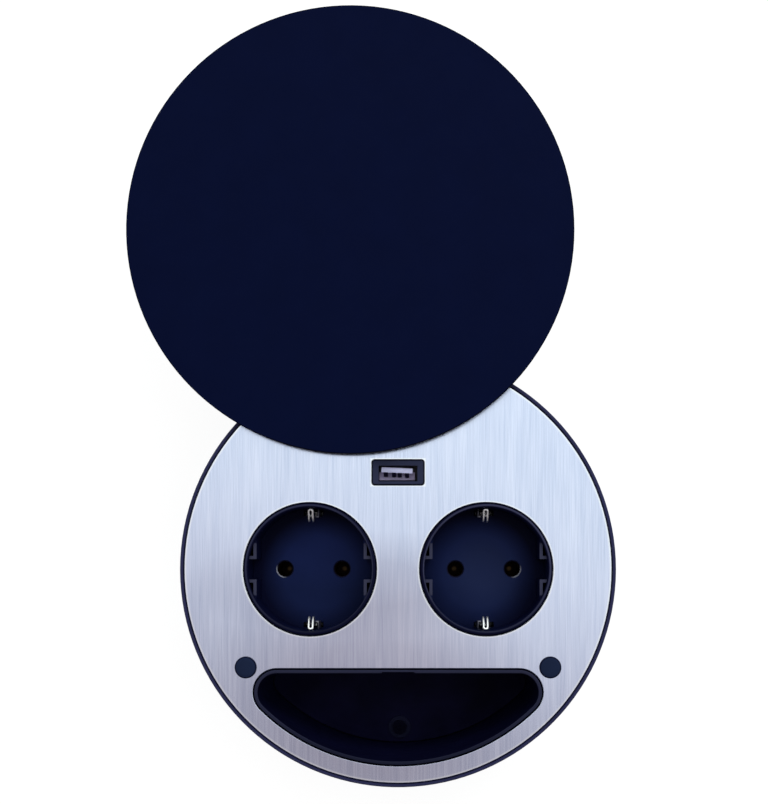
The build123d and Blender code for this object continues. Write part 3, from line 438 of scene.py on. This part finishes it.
# The edge colours below are painted shade: on the lid's edge, the port housing's sides and the pads' rounded
# edges
PLASTICS = {
    "lid_coating": dict(
        colour=(0.0015, 0.0036, 0.0231), roughness=0.55, specular=0.02, grain=7000, relief=5e-6, vary=0.05,
        edge=(0.0004, 0.0006, 0.0050),
    ),
    "carrier_black": dict(colour=(0.006, 0.007, 0.012), roughness=0.5, specular=0.2),
    "housing_plastic": dict(colour=(0.020, 0.021, 0.066), roughness=0.42, specular=0.08),
    "port_plastic": dict(
        colour=(0.025, 0.030, 0.066), roughness=0.5, specular=0.05, edge=(0.004, 0.005, 0.015)
    ),
    "carrier_plastic": dict(colour=(0.05, 0.05, 0.055), roughness=0.5),
    "terminal_plastic": dict(colour=(0.32, 0.33, 0.34), specular=0.4),
    "tongue_plastic": dict(colour=(0.60, 0.62, 0.88), roughness=0.5),
    "seat_plastic": dict(colour=(0.33, 0.30, 0.44), roughness=0.5, specular=0.2),
    "washer_plastic": dict(colour=(0.55, 0.55, 0.52), roughness=0.4, specular=0.4),
    "dark_washer": dict(colour=(0.0075, 0.0085, 0.032), roughness=0.5, specular=0.05),
    "foam_rubber": dict(
        colour=(0.02, 0.02, 0.022), roughness=0.9, specular=0.1, grain=2600, relief=1.2e-4, vary=0.3
    ),
    "pad_rubber": dict(
        colour=(0.0104, 0.0170, 0.045), roughness=0.7, specular=0.03, relief=1e-5, edge=(0.003, 0.005, 0.020)
    ),
    "grommet_rubber": dict(colour=(0.012, 0.012, 0.014), roughness=0.7, specular=0.2),
    "capacitor_can": dict(colour=(0.012, 0.02, 0.07), roughness=0.35, specular=0.5),
    "coil_wrap": dict(colour=(0.62, 0.42, 0.03), roughness=0.4, specular=0.4),
    "board_laminate": dict(colour=(0.003, 0.008, 0.026), roughness=0.35),
    "live_insulation": dict(colour=(0.12, 0.045, 0.02)),
    "neutral_insulation": dict(colour=(0.02, 0.09, 0.35)),
}
METALS = {
    "earth_spring": dict(colour=(0.92, 0.92, 0.95), roughness=0.36),
    # Painted shade: the tabs are painted darker than the springs, for the shade deeper in the recess
    "earth_tab": dict(colour=(0.16, 0.16, 0.20), roughness=0.45),
    "bush_brass": dict(colour=(0.70, 0.52, 0.26), roughness=0.32, stretch=(1, 1, 8)),
    "port_steel": dict(colour=(0.88, 0.84, 0.92), roughness=0.14),
    # Painted shade: the port's gold contacts are painted nearly black, as in shadow under the tongue
    "port_gold": dict(colour=(0.015, 0.013, 0.034), roughness=0.4),
    "zinc_screw": dict(colour=(0.62, 0.64, 0.68)),
    "black_screw": dict(colour=(0.003, 0.003, 0.009), roughness=0.45),
    "pin_steel": dict(colour=(0.55, 0.56, 0.60), roughness=0.25),
    "spring_steel": dict(colour=(0.35, 0.36, 0.40), roughness=0.35),
    "clamp_zinc": dict(colour=(0.55, 0.57, 0.62), roughness=0.38, grain=1600, relief=1e-5),
}
looks = {
    "plate_steel": plate_steel(),
    "outlet_plastic": outlet_plastic(),
    "tray_plastic": tray_plastic(),
    "contact_brass": contact_brass(),
    **{name: moulded(name, **values) for name, values in PLASTICS.items()},
    **{name: metal(name, **values) for name, values in METALS.items()},
}

# The finish of each CAD node. The nodes that pieces below replace have one too.
FINISHES = {
    "plate_steel": ["face_plate"],
    "lid_coating": ["lid_plate"],
    "carrier_black": ["lid_carrier"],
    "housing_plastic": ["housing", "bottom_cover"],
    "outlet_plastic": ["outlet_insert_left", "outlet_insert_right"],
    "tray_plastic": ["storage_tray"],
    "port_plastic": ["port_housing"],
    "carrier_plastic": ["contact_carrier"],
    "terminal_plastic": ["terminal_block"],
    "tongue_plastic": ["port_tongue"],
    "washer_plastic": ["friction_washer"],
    "foam_rubber": ["gasket"],
    "pad_rubber": ["lid_pads"],
    "grommet_rubber": ["inlet_grommet"],
    "capacitor_can": ["charger_capacitors"],
    "coil_wrap": ["charger_transformer"],
    "board_laminate": ["charger_board"],
    "live_insulation": ["charger_lead_live"],
    "neutral_insulation": ["charger_lead_neutral"],
    "earth_spring": ["earth_bracket_left", "earth_bracket_right"],
    "contact_brass": ["pin_sleeves", "live_busbar", "neutral_busbar", "earth_busbar"],
    "bush_brass": ["pivot_bush"],
    "port_steel": ["port_shell"],
    "port_gold": ["port_contacts"],
    "zinc_screw": ["carrier_screws", "terminal_screws", "port_screws", "cover_screws", "lid_screws"]
    + [f"clamp_screw_{corner}" for corner in CORNERS],
    "black_screw": ["tray_screw"],
    "dark_washer": ["tray_washer"],
    "pin_steel": ["pivot_pin", "stop_washer"],
    "spring_steel": ["retaining_ring"],
    "clamp_zinc": [f"clamp_{part}_{corner}" for part in ("nut", "claw") for corner in CORNERS],
}
for look_name, names in FINISHES.items():
    for name in names:
        for slot in nodes[name].material_slots:
            slot.material = looks[look_name]


class Form:
    """A mesh in the making, in millimetres."""

    def __init__(self):
        self.points, self.faces = [], []

    def loft(self, rings, closed=False):
        """Skins rings of equally many points. The first and last are capped, or joined if it is closed."""
        start, count = len(self.points), len(rings[0])
        for ring in rings:
            self.points += ring
        for i in range(len(rings) if closed else len(rings) - 1):
            a, b = start + i * count, start + (i + 1) % len(rings) * count
            for j in range(count):
                k = (j + 1) % count
                self.faces.append((a + j, a + k, b + k, b + j))
        if not closed:
            last = len(self.points) - count
            self.faces += [tuple(range(start, start + count)), tuple(range(last, last + count))]

    def lathe(self, profile, x, y, steps=48):
        """Turns a profile of (radius, height) about the upright axis over (x, y)."""
        turns = [2 * pi * i / steps for i in range(steps)]
        self.loft([[(x + r * cos(a), y + r * sin(a), z) for a in turns] for r, z in profile])

    def block(self, x, y, z, bevel):
        """A block between pairs of limits, with its edges bevelled."""
        levels = ((z[0], bevel), (z[0] + bevel, 0), (z[1] - bevel, 0), (z[1], bevel))
        self.loft([rectangle(x, y, bevel + inset, inset, height) for height, inset in levels])

    def turned(self, angle, x, y):
        """Turns all points about the upright axis, then moves them."""
        c, s = cos(angle), sin(angle)
        self.points = [(x + c * px - s * py, y + s * px + c * py, pz) for px, py, pz in self.points]

    def piece(self, name, body, look_name, *replaced, crease=35, slot=None):
        """Makes the object, with edges sharper than crease, in degrees, left hard."""
        mesh = bpy.data.meshes.new(name)
        mesh.from_pydata([[MM * c for c in point] for point in self.points], [], self.faces)
        work = bmesh.new()
        work.from_mesh(mesh)
        bmesh.ops.recalc_face_normals(work, faces=work.faces)
        work.to_mesh(mesh)
        work.free()
        mesh.shade_smooth()
        mesh.set_sharp_from_angle(angle=radians(crease))
        mesh.materials.append(looks[look_name])
        made = bpy.data.objects.new(name, mesh)
        bpy.context.scene.collection.objects.link(made)
        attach(made, body)
        if replaced:
            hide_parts(*replaced)


def rectangle(x, y, corner, inset, z):
    """A level rectangle between pairs of limits, drawn in by inset, with its corners cut off."""
    x0, x1, y0, y1 = x[0] + inset, x[1] - inset, y[0] + inset, y[1] - inset
    return [
        (x0 + corner, y0, z), (x1 - corner, y0, z), (x1, y0 + corner, z), (x1, y1 - corner, z),
        (x1 - corner, y1, z), (x0 + corner, y1, z), (x0, y1 - corner, z), (x0, y0 + corner, z),
    ]


ROUND_STEPS = 6


def rounded(x, y, corner, inset, z):
    """A level rectangle between pairs of limits, drawn in by inset, with its corners rounded."""
    x0, x1, y0, y1 = x[0] + inset, x[1] - inset, y[0] + inset, y[1] - inset
    corner -= inset
    ring = []
    for cx, cy, begin in ((x1, y1, 0), (x0, y1, 90), (x0, y0, 180), (x1, y0, 270)):
        mx = cx - corner if begin in (0, 270) else cx + corner
        my = cy - corner if begin in (0, 90) else cy + corner
        for i in range(ROUND_STEPS + 1):
            a = radians(begin + 90 * i / ROUND_STEPS)
            ring.append((mx + corner * cos(a), my + corner * sin(a), z))
    return ring


def upright(outline, y, inset):
    """An outline of (x, z) set upright at y, drawn in towards its middle by inset."""
    mx = sum(p[0] for p in outline) / len(outline)
    mz = sum(p[1] for p in outline) / len(outline)
    ring = []
    for px, pz in outline:
        share = 1 - inset / hypot(px - mx, pz - mz)
        ring.append((mx + (px - mx) * share, y, mz + (pz - mz) * share))
    return ring


def arc(middle, radius, degrees):
    """Points round a middle, one at each of the angles."""
    return [(middle[0] + radius * cos(a), middle[1] + radius * sin(a)) for a in map(radians, degrees)]


def curve(*spans):
    """Points along cubic spans that follow each other, each given by four points and its steps."""
    points = [spans[0][0]]
    for a, b, c, d, steps in spans:
        for i in range(1, steps + 1):
            t = i / steps
            u = 1 - t
            weights = (u**3, 3 * u * u * t, 3 * u * t * t, t**3)
            points.append(tuple(sum(w * p[k] for w, p in zip(weights, (a, b, c, d))) for k in (0, 1)))
    return points


ACROSS = Vector((1, 0, 0))
BAND_SIDES = 12
BAND_POWER = 3


def along_line(line, x, way=1):
    """Places along a line of (y, z) at x, each with its directions across the line and away from it. Y is
    turned over if way is -1."""
    made = []
    for i, (y, z) in enumerate(line):
        ahead, behind = line[min(i + 1, len(line) - 1)], line[max(i - 1, 0)]
        along = Vector((0, way * (ahead[0] - behind[0]), ahead[1] - behind[1])).normalized()
        made.append((Vector((x, way * y, z)), ACROSS, ACROSS.cross(along)))
    return made


def band(form, path, half_across, half_thick):
    """A strip along a path of (place, across, normal). Its section is a blunt oval."""
    turns = [2 * pi * i / BAND_SIDES for i in range(BAND_SIDES)]
    rings = []
    for place, across, normal in path:
        ring = []
        for a in turns:
            ca, sa = cos(a), sin(a)
            blunt = (abs(ca) ** BAND_POWER + abs(sa) ** BAND_POWER) ** (-1 / BAND_POWER)
            offset = across * (half_across * ca * blunt) + normal * (half_thick * sa * blunt)
            ring.append(tuple(place + offset))
        rings.append(ring)
    form.loft(rings)


# Earth contacts: at both ends of the recess a strip rises and splits into two tines that bow inwards and
# join in a loop at the top. Lines are (y, z), half sizes are across and through, and blocks are limits.
CLIP_ROOT = (18.6, -17.4)
CLIP_NECK = (18.6, -12.0)
CLIP_CREST = (15.65, -3.4)
CLIP_TOP = (18.8, -0.5)
CLIP_LOWER = (CLIP_NECK, (18.6, -8.4), (15.65, -6.4), CLIP_CREST, 10)
CLIP_UPPER = (CLIP_CREST, (15.65, -3.0), (16.3, -2.3), CLIP_TOP, 12)
LOOP_STEPS = 12
TINE_X = 0.66
TINE_HALF = (0.34, 0.30)
STRIP_HALF = (1.15, 0.30)
CLIP_FOOT_HALF = (3.0, 19.0)
CLIP_FOOT_Z = (-18.1, -17.3)
CLIP_BAR = ((17.15, 17.6), (-2.0, -1.15))
CLIP_BEVEL = 0.1
TAB_BLADE = ((2.15, 2.45), (17.2, 19.5), (-17.4, -3.4))
TAB_HOOK = ((1.35, 2.45), (16.9, 17.35), (-4.2, -3.4))
TAB_BEVEL = 0.06


def earth_clip(side, x):
    """The earth contacts at both ends of one recess, and the hooked tabs beside them."""
    form, tab = Form(), Form()
    inward = -1 if x > 0 else 1
    bow = curve(CLIP_LOWER, CLIP_UPPER)
    for way in (1, -1):
        band(form, along_line([CLIP_ROOT, CLIP_NECK], x, way), *STRIP_HALF)
        right, left = along_line(bow, x + TINE_X, way), along_line(bow, x - TINE_X, way)
        tip, _, normal = right[-1]
        along = normal.cross(ACROSS).normalized()
        if along.y * way < 0:
            along = -along
        loop = []
        for i in range(1, LOOP_STEPS):
            a = pi * i / LOOP_STEPS
            out = ACROSS * cos(a) + along * sin(a)
            loop.append((Vector((x, tip.y, tip.z)) + out * TINE_X, out, normal))
        mirrored = [(place, -across, normal) for place, across, normal in reversed(left)]
        band(form, right + loop + mirrored, *TINE_HALF)
        for tab_x, tab_y, tab_z in (TAB_BLADE, TAB_HOOK):
            sides = sorted(x + inward * c for c in tab_x), sorted(way * c for c in tab_y)
            tab.block(*sides, tab_z, TAB_BEVEL)
    form.block((x - TINE_X, x + TINE_X), *CLIP_BAR, CLIP_BEVEL)
    half_x, half_y = CLIP_FOOT_HALF
    form.block((x - half_x, x + half_x), (-half_y, half_y), CLIP_FOOT_Z, CLIP_BEVEL)
    form.piece(f"earth_clip_{side}", "base", "earth_spring", f"earth_bracket_{side}")
    tab.piece(f"earth_tabs_{side}", "base", "earth_tab", slot="earth_spring")


earth_clip("left", -OUTLET_X)
earth_clip("right", OUTLET_X)

# Charging port: a tongue that sits slightly askew on its pale base, and four sprung contacts in front of it.
# The contacts' lines are (y from the tongue's face, z).
PORT_Y = 30.85
SEAT_X, SEAT_Y, SEAT_Z = (-6.1, 5.4), (-1.9, 0.7), (-12.0, -1.8)
SEAT_BEVEL = 0.15
TONGUE_X = -0.35
TONGUE_Y = PORT_Y + 1.1
TONGUE_Z = (-12.0, 1.6)
TONGUE_TILT = radians(-2.6)
TONGUE_HALF = (5.03, 0.8)
TONGUE_BEVEL = 0.12
SPRING_PLACES = (-3.6, -0.97, 0.87, 3.24)
SPRING_HALF = (0.66, 0.15)
SPRING_KNEE = (-1.3, -0.2)
SPRING_LOWER = ((-0.1, -3.0), (-0.3, -2.0), (-1.45, -1.4), SPRING_KNEE, 8)
SPRING_UPPER = (SPRING_KNEE, (-1.2, 0.6), (-0.5, 0.9), (0.1, 1.0), 6)
insert = Form()
insert.block(*((-half, half) for half in TONGUE_HALF), TONGUE_Z, TONGUE_BEVEL)
insert.turned(TONGUE_TILT, TONGUE_X, TONGUE_Y)
insert.piece("port_insert", "base", "tongue_plastic", "port_tongue")
seat = Form()
seat.block(SEAT_X, [PORT_Y + c for c in SEAT_Y], SEAT_Z, SEAT_BEVEL)
seat.piece("port_seat", "base", "seat_plastic", slot="tongue_plastic")
springs = Form()
for place in SPRING_PLACES:
    spring_x = TONGUE_X + place
    face = TONGUE_Y - TONGUE_HALF[1] + spring_x * sin(TONGUE_TILT)
    line = [(face + out, z) for out, z in curve(SPRING_LOWER, SPRING_UPPER)]
    band(springs, along_line(line, spring_x), *SPRING_HALF)
springs.piece("port_springs", "base", "port_gold", "port_contacts")

# Each clamp's place, and its angle about the middle of the part
clamps = {}
for corner in CORNERS:
    low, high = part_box(f"clamp_screw_{corner}")
    middle = (low + high) / 2 / MM
    clamps[corner] = (middle.x, middle.y, atan2(middle.y, middle.x))

# Rubber pads over the clamps, with rounded edges and a slight crown, as (radius, height)
PAD_SIDE = [(3.1, 1.0), (3.1, 3.2), (3.55, 3.2), (3.55, 3.35)]
PAD_ROUND = arc((2.85, 3.4), 0.7, range(12, 96, 12))
PAD_CROWN = [(2.8, 4.12), (2.6, 4.17), (2.0, 4.18), (1.0, 4.195), (0.3, 4.2)]
pads = Form()
for x, y, _ in clamps.values():
    pads.lathe(PAD_SIDE + PAD_ROUND + PAD_CROWN, x, y)
pads.piece("lid_pads_moulded", "base", "pad_rubber", "lid_pads", crease=50)

# Clamp screws: a rolled thread below a pan head with a drive recess, as (radius, height)
SCREW_HEAD = (
    (1.72, -4.4), (1.72, -1.5), (2.8, -1.5), (3.0, -1.3), (3.0, -0.2), (2.75, 0.35), (2.2, 0.7), (1.1, 0.7),
    (0.9, -0.4), (0.2, -0.6),
)
SCREW_CORE = ((0.5, -50.0), (1.3, -49.6), (1.37, -49.0), (1.37, -4.5), (1.72, -4.4), (0.5, -4.4))
THREAD_PITCH = 0.6
THREAD_Z = (-49.6, -4.6)
THREAD_ROOT, THREAD_CREST = 1.38, 1.75
CREST_RISE = (0.24, 0.36)
THREAD_STEPS = 20


def add_thread(form, x, y):
    """A thread about (x, y) whose crest rises out of its root over the first turn and sinks over the last."""
    count = int((THREAD_Z[1] - THREAD_Z[0]) / THREAD_PITCH * THREAD_STEPS)
    start = len(form.points)
    for i in range(count + 1):
        a, z = 2 * pi * i / THREAD_STEPS, THREAD_Z[0] + THREAD_PITCH * i / THREAD_STEPS
        fade = min(1.0, i / THREAD_STEPS, (count - i) / THREAD_STEPS)
        crest = THREAD_ROOT + (THREAD_CREST - THREAD_ROOT) * fade
        for r, rise in ((THREAD_ROOT, 0.0), (crest, CREST_RISE[0]), (crest, CREST_RISE[1])):
            form.points.append((x + r * cos(a), y + r * sin(a), z + rise))
    for i in range(count):
        p = start + 3 * i
        for k in (0, 1):
            form.faces.append((p + k, p + k + 3, p + k + 4, p + k + 1))
        if i + THREAD_STEPS < count:
            q = p + 3 * THREAD_STEPS
            form.faces.append((p + 2, p + 5, q + 3, q))


for corner, (x, y, _) in clamps.items():
    form = Form()
    form.lathe(SCREW_HEAD, x, y)
    add_thread(form, x, y)
    form.lathe(SCREW_CORE, x, y, THREAD_STEPS)
    screw = f"clamp_screw_{corner}"
    form.piece(f"clamp_thread_{corner}", screw, "zinc_screw", screw, crease=50)

# Clamp nuts: a die-cast block round the screw, with the ear that the claw turns on. The nuts and claws are
# made with X away from the middle of the part, and layers are (y, inset).
NUT_X, NUT_Y, NUT_Z = (-4.7, 2.5), (-3.3, 3.3), (-49.5, -42.5)
NUT_CORNER = 0.9
NUT_BEVEL = 0.3
NUT_BORE = 1.82
HINGE = (4.5, -46.0)
EAR_FOOT_X = 2.3
EAR_RADIUS = 1.9
EAR_LAYERS = ((-1.2, 0.2), (-1.05, 0), (1.05, 0), (1.2, 0.2))
nut_levels = (
    (NUT_Z[0], NUT_BEVEL), (NUT_Z[0] + NUT_BEVEL, 0), (NUT_Z[1] - NUT_BEVEL, 0), (NUT_Z[1], NUT_BEVEL)
)
outside = [rounded(NUT_X, NUT_Y, NUT_CORNER, inset, z) for z, inset in nut_levels]
bore_angles = [atan2(py, px) for px, py, _ in outside[1]]
bore = [[(NUT_BORE * cos(a), NUT_BORE * sin(a), z) for a in bore_angles] for z in reversed(NUT_Z)]
ear = [
    (EAR_FOOT_X, HINGE[1] - EAR_RADIUS),
    *arc(HINGE, EAR_RADIUS, range(-90, 91, 15)),
    (EAR_FOOT_X, HINGE[1] + EAR_RADIUS),
]
for corner, (x, y, angle) in clamps.items():
    form = Form()
    form.loft(outside + bore, closed=True)
    form.loft([upright(ear, w, inset) for w, inset in EAR_LAYERS])
    form.turned(angle, x, y)
    nut = f"clamp_nut_{corner}"
    form.piece(f"clamp_block_{corner}", nut, "clamp_zinc", nut, crease=40)

# Clamp claws: teeth towards the screw, and a sunk panel with a rib on the outer face. Two cheeks go round
# the nut's ear, and a web joins them above it. Layers are (y, inset, how far the panel is sunk).
HINGE_X, HINGE_Z = HINGE
CLAW_IN, CLAW_OUT = HINGE_X - 1.7, HINGE_X + 1.5
CLAW_TOP = HINGE_Z + 11.0
CLAW_CORNER = (0.35, 0.3)
TEETH = 6
TOOTH_PITCH = 1.15
TOOTH_DEPTH = 0.5
TOOTH_SLOPE, TOOTH_FLAT = 0.85, 1.0
PANEL_Z = (HINGE_Z + 2.8, HINGE_Z + 3.2, CLAW_TOP - 1.6, CLAW_TOP - 1.2)
CHEEK_RADIUS = 1.7
CHEEK_Z = HINGE_Z - 0.2
CHEEK_LAYERS = (
    (1.5, 0.15, 0.0), (1.65, 0.0, 0.0), (1.8, 0.0, 0.5), (2.55, 0.0, 0.5), (2.75, 0.0, 0.0), (3.1, 0.0, 0.0),
    (3.3, 0.2, 0.0),
)
WEB_Z = HINGE_Z + 2.2
WEB_LAYERS = (
    (-1.6, 0.0, 0.5), (-0.75, 0.0, 0.5), (-0.6, 0.0, 0.0), (0.6, 0.0, 0.0), (0.75, 0.0, 0.5), (1.6, 0.0, 0.5)
)
PIN_LAYERS = ((-3.3, 0.25), (-3.15, 0.0), (3.15, 0.0), (3.3, 0.25))
CLAW_PIN = arc(HINGE, 0.95, range(0, 360, 20))


def claw_outline(web, sink):
    """The claw's outline as (x, z), of its web or of a cheek, with the outer face's panel sunk."""
    outline = [(CLAW_IN + CLAW_CORNER[0], CLAW_TOP), (CLAW_IN, CLAW_TOP - CLAW_CORNER[0])]
    for k in range(TEETH):
        z = CLAW_TOP - 0.7 - TOOTH_PITCH * k
        root = CLAW_IN + TOOTH_DEPTH
        outline += [(CLAW_IN, z), (root, z - TOOTH_SLOPE), (root, z - TOOTH_FLAT)]
    outline.append((CLAW_IN, CLAW_TOP - 0.8 - TOOTH_PITCH * TEETH))
    if web:
        outline += [(CLAW_IN, WEB_Z), (CLAW_OUT, WEB_Z)]
    else:
        foot = CHEEK_Z - CHEEK_RADIUS
        outline += [(CLAW_IN, CHEEK_Z), *arc((HINGE_X, CHEEK_Z), CHEEK_RADIUS, range(198, 253, 18))]
        outline += [(HINGE_X, foot), (CLAW_OUT - CLAW_CORNER[1], foot), (CLAW_OUT, foot + CLAW_CORNER[1])]
    outline += [(CLAW_OUT - depth, z) for depth, z in zip((0.0, sink, sink, 0.0), PANEL_Z)]
    return outline + [(CLAW_OUT, CLAW_TOP - CLAW_CORNER[1]), (CLAW_OUT - CLAW_CORNER[1], CLAW_TOP)]


for corner, (x, y, angle) in clamps.items():
    form = Form()
    for way in (-1, 1):
        form.loft([upright(claw_outline(False, sink), way * w, inset) for w, inset, sink in CHEEK_LAYERS])
    form.loft([upright(claw_outline(True, sink), w, inset) for w, inset, sink in WEB_LAYERS])
    form.loft([upright(CLAW_PIN, w, inset) for w, inset in PIN_LAYERS])
    form.turned(angle, x, y)
    claw = f"clamp_claw_{corner}"
    form.piece(f"clamp_grip_{corner}", claw, "clamp_zinc", claw, crease=30)

# Floor: pale, white to the camera, with a faint shadow of the object
FLOOR_HALF = 3.0
FLOOR_CORNERS = ((-1, -1), (1, -1), (1, 1), (-1, 1))
FLOOR_PALE = (0.82, 0.82, 0.83, 1)
FLOOR_SHADED = (0.22, 0.22, 0.22, 1)
FLOOR_GLOW = 0.88
floor_mesh = bpy.data.meshes.new("floor")
floor_mesh.from_pydata(
    [(FLOOR_HALF * x, FLOOR_HALF * y, cad_box[0].z) for x, y in FLOOR_CORNERS], [], [(0, 1, 2, 3)]
)
floor = bpy.data.objects.new("floor", floor_mesh)
bpy.context.scene.collection.objects.link(floor)
floor_look = bpy.data.materials.new("floor")
floor_look.use_nodes = True
ground = Wiring(floor_look.node_tree)
ground.nodes.remove(ground.nodes["Principled BSDF"])
pale = ground.node("BsdfDiffuse", {"Color": FLOOR_PALE}).outputs[0]
shaded = ground.node("BsdfDiffuse", {"Color": FLOOR_SHADED}).outputs[0]
glow = ground.node("Emission", {"Strength": FLOOR_GLOW}).outputs[0]
white = ground.node("AddShader", {0: shaded, 1: glow}).outputs[0]
ground.feed(ground.nodes["Material Output"].inputs["Surface"], ground.white_for_sight(white, pale))
floor_mesh.materials.append(floor_look)

# World: a soft sky, brighter and bluer behind and to the right, dimmer and lilac in front. Its limits are
# leans of the line of sight towards SKY_WAY, and those of the horizon are heights.
SKY_WAY = (0.233, 0.972, 0.0)
SKY_BASE = 0.27
SKY_RISES = (((-0.085, -0.015), 0.355), ((-0.5, 0.5), 0.8))
SKY_TINTS = ((1.08, 1.0, 1.034), (0.948, 1.0, 0.985))
SKY_TINT_LIMITS = (-0.12, 0.06)
HORIZON = (0.05, 0.3)
world = bpy.data.worlds.new("studio")
bpy.context.scene.world = world
world.use_nodes = True
world.node_tree.nodes.clear()
sky = Wiring(world.node_tree)
heading = sky.node("TexCoord").outputs["Generated"]
lean = sky.node("VectorMath", {0: heading, 1: SKY_WAY}, operation="DOT_PRODUCT").outputs["Value"]


def rise(limits, amount):
    """A smooth step up, by amount, between two leans."""
    inputs = {"Value": lean, "From Min": limits[0], "From Max": limits[1], "To Max": amount}
    return sky.node("MapRange", inputs, interpolation_type="SMOOTHSTEP").outputs[0]


level = SKY_BASE
for limits, amount in SKY_RISES:
    level = sky.plus(rise(limits, amount), level)
tint = sky.blend(rise(SKY_TINT_LIMITS, 1.0), *SKY_TINTS)
light = sky.node("VectorMath", {0: tint, "Scale": level}, operation="SCALE").outputs[0]
height = sky.node("SeparateXYZ", {0: heading}).outputs["Z"]
up = sky.node("MapRange", {"Value": height, "From Min": HORIZON[0], "From Max": HORIZON[1]}).outputs[0]
unseen = sky.minus(1.0, sky.node("LightPath").outputs["Is Camera Ray"])
mirrored_sky = sky.blend(sky.times(up, unseen), (1, 1, 1), light)
lit = sky.node("Background", {"Color": light}).outputs[0]
seen = sky.node("Background", {"Color": mirrored_sky}).outputs[0]
sky.node("OutputWorld", {"Surface": sky.white_for_sight(seen, lit)})

# Key light: a soft panel high behind and to the right, in metres and watts
KEY_SIZE = 0.5
KEY_POWER = 3.0
KEY_PLACE = (0.45, 0.75, 0.75)
KEY_AIM = (0, 0.03, 0)
key = bpy.data.lights.new("key", "AREA")
key.shape = "DISK"
key.size = KEY_SIZE
key.energy = KEY_POWER
key_lamp = bpy.data.objects.new("key", key)
key_lamp.location = KEY_PLACE
key_lamp.rotation_euler = (Vector(KEY_AIM) - key_lamp.location).to_track_quat("-Z", "Y").to_euler()
bpy.context.scene.collection.objects.link(key_lamp)

camera = bpy.data.cameras.new("camera")
camera.lens = CAMERA_LENS
camera.sensor_width = CAMERA_SENSOR
camera.shift_x, camera.shift_y = CAMERA_SHIFT
camera.clip_start, camera.clip_end = CAMERA_CLIP
viewer = bpy.data.objects.new("camera", camera)
viewer.location = CAMERA_PLACE
bpy.context.scene.collection.objects.link(viewer)
bpy.context.scene.camera = viewer

bpy.context.scene.view_settings.view_transform = "Standard"
